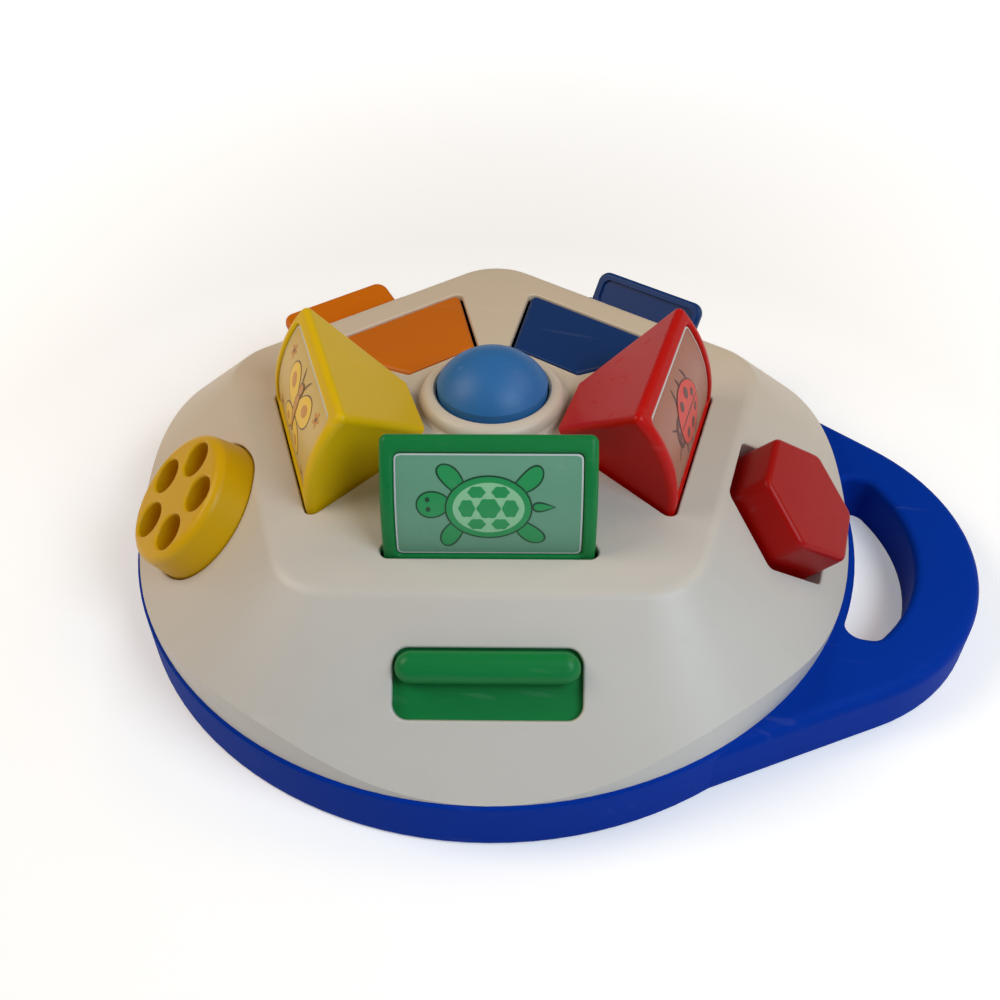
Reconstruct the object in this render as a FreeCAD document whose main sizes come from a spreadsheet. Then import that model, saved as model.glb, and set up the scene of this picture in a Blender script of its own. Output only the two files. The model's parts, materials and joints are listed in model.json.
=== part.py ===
import FreeCAD, Part
import math
import os
import Sketcher

# Pop-up flap toy: a round white cover on a blue base with a carry handle.
# Five hinged flaps stand round a centre button. Each has its own actuator on the slope outside it.
# Frame: origin at the middle of the disc on the floor, +Z up, +X along the carry handle. Millimetres.

doc = FreeCAD.newDocument("popup_flap_toy")
sheet = doc.addObject("Spreadsheet::Sheet", "Sizes")
sheet_row = 0


def size(alias, value, note):
    """Write one driving size into the sheet and give its value back."""
    global sheet_row
    sheet_row += 1
    sheet.set("A%d" % sheet_row, note)
    sheet.set("B%d" % sheet_row, repr(value))
    sheet.setAlias("B%d" % sheet_row, alias)
    return value


# Sizes of the shells
disc_radius = size("disc_radius", 140.0, "cover radius at its rim")
base_ledge = size("base_ledge", 1.0, "base wall beyond the cover rim")
base_height = size("base_height", 21.3, "floor to the rim joint")
floor_thick = size("floor_thick", 3.0, "floor of the base")
base_wall = size("base_wall", 2.8, "side wall of the base")
cover_wall = size("cover_wall", 2.6, "wall of the cover")
mouth_round = size("mouth_round", 0.8, "rounding of the openings in the cover")
joint_lip = size("joint_lip", 4.0, "depth of the cover lip inside the base")
joint_gap = size("joint_gap", 0.3, "gap between cover lip and base wall")
platform_apothem = size("platform_apothem", 91.0, "centre to the platform edge")
platform_edge_height = size("platform_edge_height", 65.3, "height of the platform edge")
platform_rise = size("platform_rise", 0.10, "rise of the platform per mm towards the centre")
platform_corner = size("platform_corner", 22.0, "corner radius of the platform")
skirt_corner = size("skirt_corner", 68.0, "corner radius of the slopes at the rim")
platform_round = size("platform_round", 7.0, "rounding between platform and slope")
first_sector = size("first_sector", -78.7, "angle of the green sector")
sector_count = 5
sector_step = 360.0 / sector_count

# Sizes of the centre
button_bore = size("button_bore", 21.3, "bore of the collar")
collar_outer = size("collar_outer", 27.0, "outer radius of the collar")
collar_top = size("collar_top", 78.0, "height of the collar")
collar_bottom = size("collar_bottom", 67.5, "lower end of the collar bore")
collar_foot = size("collar_foot", 2.2, "hollow rounding round the collar")
button_gap = size("button_gap", 0.75, "gap round the centre button")
button_rise = size("button_rise", 14.0, "dome above the collar")
button_side = size("button_side", 2.2, "straight side of the dome above the collar")
button_travel = size("button_travel", 5.0, "travel of the centre button")
button_wall = size("button_wall", 2.2, "wall of the dome")
button_flange = size("button_flange", 1.5, "flange beyond the bore")
button_sleeve = size("button_sleeve", 8.0, "radius of the guide sleeve")
post_radius = size("post_radius", 6.0, "radius of the guide post")
pillar_radius = size("pillar_radius", 13.0, "radius of the spring pillar")
pillar_height = size("pillar_height", 38.0, "top of the spring pillar")
slide_gap = size("slide_gap", 0.3, "gap between sliding faces")

# Sizes of the flaps
slot_outer = size("slot_outer", 77.4, "centre to the outer edge of a flap slot")
slot_inner = size("slot_inner", 33.2, "centre to the inner edge of a flap slot")
slot_half_outer = size("slot_half_outer", 37.4, "half width of a slot at its outer edge")
slot_half_inner = size("slot_half_inner", 16.45, "half width of a slot at its inner edge")
slot_corner = size("slot_corner", 3.0, "corner radius of a slot at its outer edge")
slot_corner_inner = size("slot_corner_inner", 1.2, "corner radius of a slot at its inner edge")
flap_gap = size("flap_gap", 0.6, "gap between flap and slot at its ends")
flap_side_gap = size("flap_side_gap", 1.0, "gap between flap and slot at its sides")
hinge_radius = size("hinge_radius", 25.65, "centre to the hinge axis")
hinge_depth = size("hinge_depth", 3.66, "hinge axis below the platform surface")
flap_open = size("flap_open", 48.0, "opening angle of a flap")
flap_lower = size("flap_lower", 7.3, "angle of the flap wall left below the slot when open")
flap_wall = size("flap_wall", 2.2, "wall of a flap")
flap_round = size("flap_round", 2.4, "rounding of the flap edges")
hinge_side_round = size("hinge_side_round", 0.8, "rounding of the flap edges next to the hinge")
frame_width = size("frame_width", 5.8, "frame round the picture panel")
panel_depth = size("panel_depth", 1.5, "depth of the picture panel")
panel_rim = size("panel_rim", 1.2, "rounding of the frame towards the panel")
panel_corner = size("panel_corner", 2.2, "corner radius of the picture panel")
sticker_thick = size("sticker_thick", 0.3, "thickness of the sticker")
sticker_gap = size("sticker_gap", 0.4, "gap round the sticker")
lip_depth = size("lip_depth", 5.1, "stop lip beyond the flap face")
lip_angle = size("lip_angle", 2.1, "angle that the stop lip takes up")
pin_radius = size("pin_radius", 1.0, "radius of a flap hinge pin")
pin_fit = size("pin_fit", 0.05, "gap between a pin and its hole")
eye_radius = size("eye_radius", 2.3, "radius of the hinge eyes")
eye_room = size("eye_room", 0.35, "gap between an eye and its pocket")
lug_near = size("lug_near", 4.0, "inner face of a cover lug from the middle of the hinge")
lug_far = size("lug_far", 7.2, "outer face of a cover lug")
arm_near = size("arm_near", 8.0, "inner face of a flap arm")
arm_far = size("arm_far", 12.0, "outer face of a flap arm")
coil_radius = size("coil_radius", 1.55, "mean radius of a hinge spring")
coil_wire = size("coil_wire", 0.7, "wire of a hinge spring")

stop_near = size("stop_near", 18.0, "near end of a stop lip from the middle of the flap")
stop_far = size("stop_far", 30.0, "far end of a stop lip")
leg_lag = size("leg_lag", 3.0, "angle between the spring leg and the flap wall")
leg_anchor = size("leg_anchor", 100.0, "angle of the spring leg held by the cover")
notch_top = size("notch_top", 2.9, "hinge axis to the end of the spring notch")
coil_turns = 5

# Sizes of the slope that carries the actuators
facet_share = size("facet_share", 0.4176, "part of the slope above the middle of the actuators")
boss_offset = size("boss_offset", 40.0, "bracket bosses either side of an actuator")
boss_radius = size("boss_radius", 4.0, "radius of a bracket boss")
bracket_thick = size("bracket_thick", 2.5, "thickness of a bracket")
bracket_half = size("bracket_half", 8.0, "half width of a bracket")
small_screw = size("small_screw", 1.25, "radius of a bracket screw")
small_head = size("small_head", 2.6, "radius of a bracket screw head")
screw_bite = size("screw_bite", 6.0, "depth of a bracket screw in its boss")
boss_skin = size("boss_skin", 1.2, "cover left outside a bracket boss hole")
tail_left = size("tail_left", -2.0, "near side of the release tails")
tail_right = size("tail_right", 3.9, "side of the release tails next to the latch")

# Sizes of the slider
window_half = size("window_half", 30.0, "half length of the slider window")
window_up = size("window_up", 10.0, "window above the middle")
window_down = size("window_down", 12.5, "window below the middle")
window_corner = size("window_corner", 5.0, "corner radius of the window")
bar_width = size("bar_width", 10.4, "width of the grip bar")
bar_height = size("bar_height", 5.0, "grip bar above the slope")
bar_gap = size("bar_gap", 0.8, "gap at the ends of the grip bar")
slider_travel = size("slider_travel", 11.0, "travel of the slider")
slider_plate = size("slider_plate", 2.4, "thickness of the slider plate")
tail_depth = size("tail_depth", 27.0, "reach of the release tails below the slope")
tail_wide = size("tail_wide", 8.5, "wide end of the slider tail")
tail_near_v = size("tail_near_v", 3.0, "lower edge of the slider tail")
tail_far_v = size("tail_far_v", 12.0, "upper edge of the slider tail")
keeper_half = size("keeper_half", 15.0, "half width of the slider keeper")

# Sizes of the dial
dial_radius = size("dial_radius", 26.8, "dial radius at the slope")
dial_face = size("dial_face", 25.2, "dial radius at its face")
dial_height = size("dial_height", 13.0, "dial above the slope")
dial_bevel = size("dial_bevel", 3.2, "rounding of the dial edge")
dial_gap = size("dial_gap", 0.5, "gap round the dial")
hole_pitch = size("hole_pitch", 15.0, "circle of the finger holes")
hole_radius = size("hole_radius", 6.8, "radius of a finger hole")
hole_depth = size("hole_depth", 9.0, "depth of a finger hole")
hole_floor = size("hole_floor", 2.4, "floor of a finger hole")
hole_edge = size("hole_edge", 1.0, "rounding of the finger hole edges")
hole_phase = size("hole_phase", 120.3, "angle of the first finger hole")
dial_plate = size("dial_plate", 14.0, "dial bracket below the slope")
spigot_radius = size("spigot_radius", 4.0, "radius of the dial spigot")
cam_long = size("cam_long", 9.0, "long radius of the dial cam")
cam_short = size("cam_short", 4.0, "short radius of the dial cam")
cam_height = size("cam_height", 11.0, "height of the dial cam")

# Sizes of the push knob
knob_apothem = size("knob_apothem", 22.3, "half width of the knob at the slope")
knob_face = size("knob_face", 21.8, "half width of the knob at its face")
knob_height = size("knob_height", 13.4, "knob above the slope")
knob_corner = size("knob_corner", 4.6, "corner radius of the knob")
knob_round = size("knob_round", 2.0, "rounding of the knob face")
knob_gap = size("knob_gap", 3.0, "gap round the knob")
well_corner = size("well_corner", 3.8, "corner radius of the knob well")
knob_wall = size("knob_wall", 2.4, "wall of the knob")
knob_travel = size("knob_travel", 6.0, "travel of the knob")
well_depth = size("well_depth", 7.6, "depth of the knob well")
well_wall = size("well_wall", 2.0, "wall of the knob well")
knob_flange = size("knob_flange", 2.4, "thickness of the knob flange")
stem_end = size("stem_end", 24.0, "end of the knob stem below the slope")
knob_stem = size("knob_stem", 4.0, "radius of the knob stem")
knob_coil = size("knob_coil", 10.0, "mean radius of the knob spring")
spring_wire = size("spring_wire", 1.4, "wire of the knob and button springs")

# Sizes of the levers
lever_axis = size("lever_axis", 7.5, "lever axis below the slope")
drum_radius = size("drum_radius", 10.5, "radius of the lever drum")
lever_half = size("lever_half", 26.25, "half width of a lever paddle")
lever_reach = size("lever_reach", 24.0, "axis to the tip of a lever")
lever_thick = size("lever_thick", 4.2, "thickness of a lever paddle")
lever_corner = size("lever_corner", 5.0, "corner radius of a lever paddle")
lever_up = size("lever_up", 7.3, "lever angle uphill of square")
lever_down = size("lever_down", 28.0, "lever angle downhill of square")
lever_gap = size("lever_gap", 0.5, "gap at the ends of the lever drum")
drum_beyond = size("drum_beyond", 0.9, "lever drum beyond the paddle at each end")
dish_rim = size("dish_rim", 3.2, "rim round the dish of the blue lever")
dish_depth = size("dish_depth", 1.3, "depth of the dish")
cheek_wall = size("cheek_wall", 3.0, "thickness of a lever cheek")
cheek_half = size("cheek_half", 6.0, "half width of a lever cheek")
lever_window = size("lever_window", 10.6, "half height of a lever window")
lever_pin = size("lever_pin", 1.5, "radius of a lever pin")

# Sizes of the latches
latch_thick = size("latch_thick", 1.6, "thickness of a latch leaf")
latch_near = size("latch_near", 4.4, "near face of a latch leaf")
latch_gap = size("latch_gap", 0.25, "gap between hook and catch nose")
nose_near = size("nose_near", 1.0, "near end of the catch nose")
nose_far = size("nose_far", 7.5, "far end of the catch nose")
nose_depth = size("nose_depth", 4.1, "catch nose beyond the flap face")
leaf_inner = size("leaf_inner", 60.5, "inner edge of a latch leaf")
leaf_outer = size("leaf_outer", 68.5, "outer edge of a latch leaf")
leaf_past = size("leaf_past", 0.6, "latch arm beyond the end of the release tails")
arm_low = size("arm_low", 23.5, "underside of the latch arm")
arm_high = size("arm_high", 30.5, "top of the latch arm")

# Sizes of the handle
handle_inset = size("handle_inset", 30.3, "cover rim to the centre of the handle arc, inwards")
handle_radius = size("handle_radius", 79.0, "radius of the handle arc")
handle_round = size("handle_round", 4.5, "rounding of the upper handle edge")
foot_round = size("foot_round", 1.5, "rounding of the lower edge of the base")
rim_round = size("rim_round", 1.2, "rounding of the upper edge of the base")
grip_inset = size("grip_inset", 43.4, "cover rim to the centre of the outer arc of the hand opening, inwards")
grip_outer = size("grip_outer", 68.4, "radius of that arc")
grip_clear = size("grip_clear", 2.0, "hand opening to the disc")
grip_half = size("grip_half", 43.5, "half length of the hand opening")
grip_corner = size("grip_corner", 6.0, "corner radius of the hand opening")
grip_edge = size("grip_edge", 3.0, "rounding of the hand opening edge")
handle_wall = size("handle_wall", 2.6, "wall of the hollow handle")
plate_thick = size("plate_thick", 2.4, "closing plate under the handle")
plate_gap = size("plate_gap", 0.3, "gap round the closing plate")

# Sizes of the case screws
case_screw_inset = size("case_screw_inset", 28.0, "cover rim to the circle of the case screws")
case_post = size("case_post", 5.0, "radius of a case screw post")
case_split = size("case_split", 16.0, "height where post and boss meet")
case_screw = size("case_screw", 1.6, "radius of a case screw")
case_head = size("case_head", 3.4, "radius of a case screw head")
case_head_seat = size("case_head_seat", 8.0, "height of the screw head seat")
case_head_thick = size("case_head_thick", 2.4, "height of a case screw head")
case_screw_length = size("case_screw_length", 24.0, "shank of a case screw")

# Values that follow from the sizes
base_radius = disc_radius + base_ledge
slope_run = disc_radius - platform_apothem
slope_drop = platform_edge_height - base_height
slope_length = math.hypot(slope_run, slope_drop)
slope_cos = slope_run / slope_length
slope_sin = slope_drop / slope_length
facet_middle = slope_length * facet_share
facet_radius = platform_apothem + facet_middle * slope_cos
facet_height = platform_edge_height - facet_middle * slope_sin
leaf_reach = facet_radius - slope_sin * tail_depth + leaf_past
handle_centre = disc_radius - handle_inset
grip_centre = disc_radius - grip_inset
case_screw_circle = disc_radius - case_screw_inset
tilt = math.atan(platform_rise)


def platform_z(radius):
    """Height of the platform surface at a distance from the centre along a sector."""
    return platform_edge_height + platform_rise * (platform_apothem - radius)


hinge_z = platform_z(hinge_radius) - hinge_depth
slot_outer_ring = math.hypot(slot_outer - hinge_radius, platform_z(slot_outer) - hinge_z)
slot_inner_ring = math.hypot(slot_inner - hinge_radius, platform_z(slot_inner) - hinge_z)
slot_near = (slot_inner - hinge_radius) / math.cos(tilt)
slot_far = (slot_outer - hinge_radius) / math.cos(tilt)
side_slope = (slot_half_outer - slot_half_inner) / (slot_outer_ring - slot_inner_ring)
side_gap = flap_side_gap * math.hypot(1.0, side_slope)
flap_outer_ring = slot_outer_ring - flap_gap
flap_inner_ring = slot_inner_ring + flap_gap
flap_bottom = flap_open + flap_lower


# Small tools for the document
def bind(item, prop, formula):
    """Tie a property to the sheet."""
    item.setExpression(prop, formula.replace("$", "Sizes."))


def frame(angle, radius=0.0, height=0.0):
    """Placement of a sector frame: x outwards, y along the rim, z up."""
    turn = FreeCAD.Rotation(FreeCAD.Vector(0, 0, 1), angle)
    return FreeCAD.Placement(turn.multVec(FreeCAD.Vector(radius, 0, height)), turn)


def facet_frame(angle, depth=0.0):
    """Placement on a slope: x along the rim, y up the slope, z out of the surface."""
    turn = FreeCAD.Rotation(FreeCAD.Vector(0, 0, 1), angle)
    along = turn.multVec(FreeCAD.Vector(0, 1, 0))
    uphill = turn.multVec(FreeCAD.Vector(-slope_cos, 0, slope_sin))
    normal = turn.multVec(FreeCAD.Vector(slope_sin, 0, slope_cos))
    origin = turn.multVec(FreeCAD.Vector(facet_radius, 0, facet_height))
    return FreeCAD.Placement(origin + normal * depth, FreeCAD.Rotation(along, uphill, normal, "ZXY"))


def hinge_frame(angle, opened):
    """Placement of a flap: y along the hinge, turned up by the opening angle."""
    swing = FreeCAD.Placement(FreeCAD.Vector(), FreeCAD.Rotation(FreeCAD.Vector(0, 1, 0), -opened))
    return frame(angle, hinge_radius, hinge_z).multiply(swing)


def vec(point):
    return FreeCAD.Vector(point[0], point[1], 0)


def sketch(name, parts, placement=None):
    """A sketch from lines ((x, y), (x, y)), arcs (start, mid, end) and circles (centre, radius)."""
    item = doc.addObject("Sketcher::SketchObject", name)
    for part in parts:
        if len(part) == 3:
            item.addGeometry(Part.Arc(vec(part[0]), vec(part[1]), vec(part[2])), False)
        elif isinstance(part[1], float):
            item.addGeometry(Part.Circle(vec(part[0]), FreeCAD.Vector(0, 0, 1), part[1]), False)
        else:
            item.addGeometry(Part.LineSegment(vec(part[0]), vec(part[1])), False)
    if placement is not None:
        item.Placement = placement
    return item


def loop(points):
    """Closed chain of lines through points."""
    return [(points[i], points[(i + 1) % len(points)]) for i in range(len(points))]


def polar(radius, degrees):
    return (radius * math.cos(math.radians(degrees)), radius * math.sin(math.radians(degrees)))


def rounded_loop(points, radius):
    """Closed outline through corner points, each corner rounded by an arc. The radius may be a list."""
    count = len(points)
    radii = radius if isinstance(radius, list) else [radius] * count
    arcs = []
    for i in range(count):
        before, corner, after = points[i - 1], points[i], points[(i + 1) % count]
        a = (before[0] - corner[0], before[1] - corner[1])
        b = (after[0] - corner[0], after[1] - corner[1])
        la, lb = math.hypot(*a), math.hypot(*b)
        a, b = (a[0] / la, a[1] / la), (b[0] / lb, b[1] / lb)
        half = math.acos(max(-1.0, min(1.0, a[0] * b[0] + a[1] * b[1]))) / 2
        reach = radii[i] / math.tan(half)
        m = (a[0] + b[0], a[1] + b[1])
        lm = math.hypot(*m)
        middle = radii[i] / math.sin(half) - radii[i]
        start = (corner[0] + a[0] * reach, corner[1] + a[1] * reach)
        end = (corner[0] + b[0] * reach, corner[1] + b[1] * reach)
        arcs.append((start, (corner[0] + m[0] / lm * middle, corner[1] + m[1] / lm * middle), end))
    parts = []
    for i in range(count):
        parts.append(arcs[i])
        parts.append((arcs[i][2], arcs[(i + 1) % count][0]))
    return parts


def pentagon(apothem, corner):
    """Rounded pentagon whose sides face the sectors."""
    far = apothem / math.cos(math.radians(sector_step / 2))
    points = [polar(far, first_sector + sector_step * (i + 0.5)) for i in range(sector_count)]
    return rounded_loop(points, corner)


def hexagon(apothem):
    """Hexagon with two corners on the x axis."""
    return [polar(apothem / math.cos(math.radians(30)), 60 * i) for i in range(6)]


def rectangle(x0, x1, y0, y1):
    return [(x0, y0), (x1, y0), (x1, y1), (x0, y1)]


def extrude(name, parts, low, high, placement=None, formula=None):
    """Prism of a sketch between two heights of its frame."""
    base = sketch(name + "_outline", parts)
    item = doc.addObject("Part::Extrusion", name)
    item.Base = base
    item.DirMode = "Custom"
    item.Dir = FreeCAD.Vector(0, 0, 1)
    item.Solid = True
    item.LengthFwd = high - low
    if formula:
        bind(item, "LengthFwd", formula)
    base.Placement = FreeCAD.Placement(FreeCAD.Vector(0, 0, low), FreeCAD.Rotation())
    if placement is not None:
        return moved(name + "_set", item, placement)
    return item


def moved(name, item, placement):
    """A compound of one object that carries a placement."""
    group = doc.addObject("Part::Compound", name)
    group.Links = [item]
    group.Placement = placement
    return group


def revolve(name, parts, start, sweep, axis=(0, 1, 0)):
    """Turn a sketch in the x-y plane about the y axis, from one angle through another (down is plus)."""
    base = sketch(name + "_outline", parts)
    turned = FreeCAD.Rotation(FreeCAD.Vector(*axis), start)
    base.Placement = FreeCAD.Placement(FreeCAD.Vector(), turned)
    item = doc.addObject("Part::Revolution", name)
    item.Source = base
    item.Axis = FreeCAD.Vector(*axis)
    item.Base = FreeCAD.Vector(0, 0, 0)
    item.Angle = sweep
    item.Solid = True
    return item


def lathe(name, points, placement=None):
    """Body turned about its own z axis from an outline of (radius, height) points."""
    body = doc.addObject("PartDesign::Body", name)
    outline = body.newObject("Sketcher::SketchObject", name + "_profile")
    plane = [f for f in body.Origin.OriginFeatures if f.Role == "XZ_Plane"][0]
    outline.AttachmentSupport = [(plane, "")]
    outline.MapMode = "FlatFace"
    for part in points:
        if len(part) == 3:
            outline.addGeometry(Part.Arc(vec(part[0]), vec(part[1]), vec(part[2])), False)
        else:
            outline.addGeometry(Part.LineSegment(vec(part[0]), vec(part[1])), False)
    turn = body.newObject("PartDesign::Revolution", name + "_turn")
    turn.Profile = outline
    turn.ReferenceAxis = (outline, ["V_Axis"])
    turn.Angle = 360.0
    if placement is not None:
        body.Placement = placement
    return body


def cylinder(name, radius, height, placement=None, formulas=None):
    item = doc.addObject("Part::Cylinder", name)
    item.Radius = radius
    item.Height = height
    for prop, formula in (formulas or {}).items():
        bind(item, prop, formula)
    if placement is not None:
        item.Placement = placement
    return item


def box(name, x0, x1, y0, y1, z0, z1, placement=None):
    item = doc.addObject("Part::Box", name)
    item.Length = x1 - x0
    item.Width = y1 - y0
    item.Height = z1 - z0
    local = FreeCAD.Placement(FreeCAD.Vector(x0, y0, z0), FreeCAD.Rotation())
    item.Placement = placement.multiply(local) if placement is not None else local
    return item


def shift(placement, x, y, z, axis=None):
    """Placement moved in its own frame, with its z axis turned onto another axis if one is named."""
    turn = FreeCAD.Rotation()
    if axis:
        turn = FreeCAD.Rotation(FreeCAD.Vector(0, 0, 1), FreeCAD.Vector(*axis))
    return placement.multiply(FreeCAD.Placement(FreeCAD.Vector(x, y, z), turn))


def join(name, items):
    """Union of the items. One item stands for itself."""
    if len(items) == 1:
        return items[0]
    item = doc.addObject("Part::MultiFuse", name)
    item.Shapes = items
    return item


def cut(name, base, tool):
    item = doc.addObject("Part::Cut", name)
    item.Base = base
    item.Tool = tool
    return item


def overlap(name, items):
    item = doc.addObject("Part::MultiCommon", name)
    item.Shapes = items
    return item


def round_edges(name, base, radius, choose):
    """Round the edges of an object that a test picks out. The test may name a radius of its own."""
    doc.recompute()
    picked = []
    for i, edge in enumerate(base.Shape.Edges):
        wanted = choose(edge)
        if wanted:
            own = radius if wanted is True else wanted
            picked.append((i + 1, own, own))
    if not picked:
        raise RuntimeError("no edges to round on " + name)
    item = doc.addObject("Part::Fillet", name)
    item.Base = base
    item.Edges = picked
    return item


def at_height(edge, height, slack=0.05):
    box_ = edge.BoundBox
    return abs(box_.ZMin - height) < slack and abs(box_.ZMax - height) < slack


nodes = []


def node(name, item):
    """Register a finished sub-part under its name."""
    item.Label = name
    nodes.append(item)
    return item


sectors = ["green", "red", "blue", "orange", "yellow"]
sector_angle = {name: first_sector + sector_step * i for i, name in enumerate(sectors)}
opened_now = {"green": flap_open, "red": flap_open, "blue": 0.0, "orange": 0.0, "yellow": flap_open}


# Base tray with its handle
def handle_outline(grow):
    """Disc and handle arc joined by their common tangents, grown outwards by an amount."""
    small = handle_radius + grow
    large = disc_radius - base_ledge + grow
    lean = math.degrees(math.acos((large - small) / handle_centre))
    up_large = polar(large, lean)
    up_small = (handle_centre + polar(small, lean)[0], polar(small, lean)[1])
    down_large = (up_large[0], -up_large[1])
    down_small = (up_small[0], -up_small[1])
    return [
        (down_small, (handle_centre + small, 0.0), up_small),
        (up_small, up_large),
        (up_large, (-large, 0.0), down_large),
        (down_large, down_small),
    ]


def grip_outline(grow):
    """Corners of the crescent hand opening, grown by an amount."""
    inner = base_radius + grip_clear - grow
    outer = grip_outer + grow
    half = grip_half + grow
    inner_x = math.sqrt(inner ** 2 - half ** 2)
    outer_x = grip_centre + math.sqrt(outer ** 2 - half ** 2)
    return [
        ((outer_x, -half), (grip_centre + outer, 0.0), (outer_x, half)),
        ((outer_x, half), (inner_x, half)),
        ((inner_x, half), (inner, 0.0), (inner_x, -half)),
        ((inner_x, -half), (outer_x, -half)),
    ]


def upright(edge):
    box_ = edge.BoundBox
    return box_.ZLength > 1.0 and box_.XLength < 0.01 and box_.YLength < 0.01


def grip_prism(name, grow, low, high):
    rough = extrude(name + "_rough", grip_outline(grow), low, high)
    return round_edges(name, rough, grip_corner + grow, upright)


handle_block = extrude("handle_block", handle_outline(0.0), 0.0, base_height, formula="$base_height")
handle_crest = round_edges("handle_crest", handle_block, handle_round, lambda e: at_height(e, base_height))
handle_soft = round_edges("handle_soft", handle_crest, foot_round, lambda e: at_height(e, 0.0))
grip_hole = grip_prism("grip_hole", 0.0, -1.0, base_height + 1.0)
handle_cut = cut("handle_cut", handle_soft, grip_hole)


def grip_rim(edge):
    box_ = edge.BoundBox
    inside = box_.XMin > base_radius - grip_clear - 8.0 and box_.XMax < grip_centre + grip_outer + 1.0
    near = abs(box_.YMax) < grip_half + 1.0 and abs(box_.YMin) < grip_half + 1.0
    return at_height(edge, base_height) and inside and near


handle_shape = round_edges("handle_shape", handle_cut, grip_edge, grip_rim)
disc_block = cylinder("disc_block", base_radius, base_height, None,
                      {"Radius": "$disc_radius + $base_ledge", "Height": "$base_height"})
disc_crest = round_edges("disc_crest", disc_block, rim_round, lambda e: at_height(e, base_height))
disc_soft = round_edges("disc_soft", disc_crest, foot_round, lambda e: at_height(e, 0.0))
tray_block = join("tray_block", [handle_shape, disc_soft])
tray_hollow = cylinder("tray_hollow", base_radius - base_wall, base_height,
                       FreeCAD.Placement(FreeCAD.Vector(0, 0, floor_thick), FreeCAD.Rotation()),
                       {"Radius": "$disc_radius + $base_ledge - $base_wall", "Height": "$base_height"})


def handle_hollow(name, inset, low, high):
    """Room inside the handle, clear of the disc and of the hand opening by a wall."""
    plan = extrude(name + "_plan", handle_outline(-inset), low, high)
    disc = cylinder(name + "_disc", base_radius + inset - handle_wall, high - low + 2.0,
                    FreeCAD.Placement(FreeCAD.Vector(0, 0, low - 1.0), FreeCAD.Rotation()))
    opening = grip_prism(name + "_opening", inset, low - 1.0, high + 1.0)
    return cut(name, cut(name + "_crescent", plan, disc), opening)


handle_room = handle_hollow("handle_room", handle_wall, -1.0, base_height - handle_wall)
tray_posts = []
tray_holes = []
for name in sectors:
    spot = frame(sector_angle[name] + sector_step / 2, case_screw_circle, 0.0)
    tray_posts.append(cylinder("tray_post_" + name, case_post, case_split - 1.0, shift(spot, 0, 0, 1.0),
                               {"Radius": "$case_post"}))
    tray_holes.append(cylinder("tray_bore_" + name, case_screw + slide_gap, case_split + 2.0,
                               shift(spot, 0, 0, -1.0)))
    tray_holes.append(cylinder("tray_head_" + name, case_head + slide_gap, case_head_seat + 1.0,
                               shift(spot, 0, 0, -1.0)))
post_top = collar_bottom - slide_gap - button_travel
pillar = cylinder("pillar", pillar_radius, pillar_height - 1.0, shift(FreeCAD.Placement(), 0, 0, 1.0),
                  {"Radius": "$pillar_radius"})
guide_post = cylinder("guide_post", post_radius, post_top - 1.0, shift(FreeCAD.Placement(), 0, 0, 1.0),
                      {"Radius": "$post_radius"})
tray_shell = cut("tray_shell", tray_block, join("tray_rooms", [tray_hollow, handle_room]))
tray_full = join("tray_full", [tray_shell, pillar, guide_post] + tray_posts)
node("base_tray", cut("base_tray", tray_full, join("tray_bores", tray_holes)))
node("handle_plate", handle_hollow("handle_plate", handle_wall + plate_gap, 0.0, plate_thick))


# Cover: sloped skirt, tilted platform and collar
def cover_loft(name, wall):
    """Loft from the rim over the platform edge to the collar, moved inwards by a wall."""
    side = wall / slope_sin
    drop = wall / math.cos(tilt)
    steep = slope_drop / slope_run
    back = (side * steep - drop) / (steep - platform_rise)
    edge_apothem = platform_apothem - back
    edge_z = platform_edge_height - drop + platform_rise * back
    share = platform_corner / platform_apothem
    levels = [
        (base_height, disc_radius - side, skirt_corner - side),
        (edge_z, edge_apothem, edge_apothem * share),
        (edge_z + platform_rise * (edge_apothem - collar_outer), collar_outer, collar_outer * share),
    ]
    outlines = []
    for i, (level, apothem, corner) in enumerate(levels):
        flat = FreeCAD.Placement(FreeCAD.Vector(0, 0, level), FreeCAD.Rotation())
        outlines.append(sketch("%s_level_%d" % (name, i), pentagon(apothem, corner), flat))
    loft = doc.addObject("Part::Loft", name)
    loft.Sections = outlines
    loft.Solid = True
    loft.Ruled = True
    return loft


def platform_rim(edge):
    """Edges between the platform and the slopes."""
    box_ = edge.BoundBox
    return abs(box_.ZMax - platform_edge_height) < 0.05 and abs(box_.ZMin - platform_edge_height) < 0.05


outer_loft = cover_loft("outer_loft", 0.0)
outer_soft = round_edges("outer_soft", outer_loft, platform_round, platform_rim)
outer_round = cylinder("outer_round", disc_radius, collar_top, frame(0.0, 0.0, base_height),
                       {"Radius": "$disc_radius"})
outer_shape = overlap("outer_shape", [outer_soft, outer_round])
inner_loft = cover_loft("inner_loft", cover_wall)
inner_round = cylinder("inner_round", disc_radius - cover_wall, collar_top, frame(0.0, 0.0, base_height),
                       {"Radius": "$disc_radius - $cover_wall"})
inner_shape = overlap("inner_shape", [inner_loft, inner_round])
cover_shell = cut("cover_shell", outer_shape, inner_shape)

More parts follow.
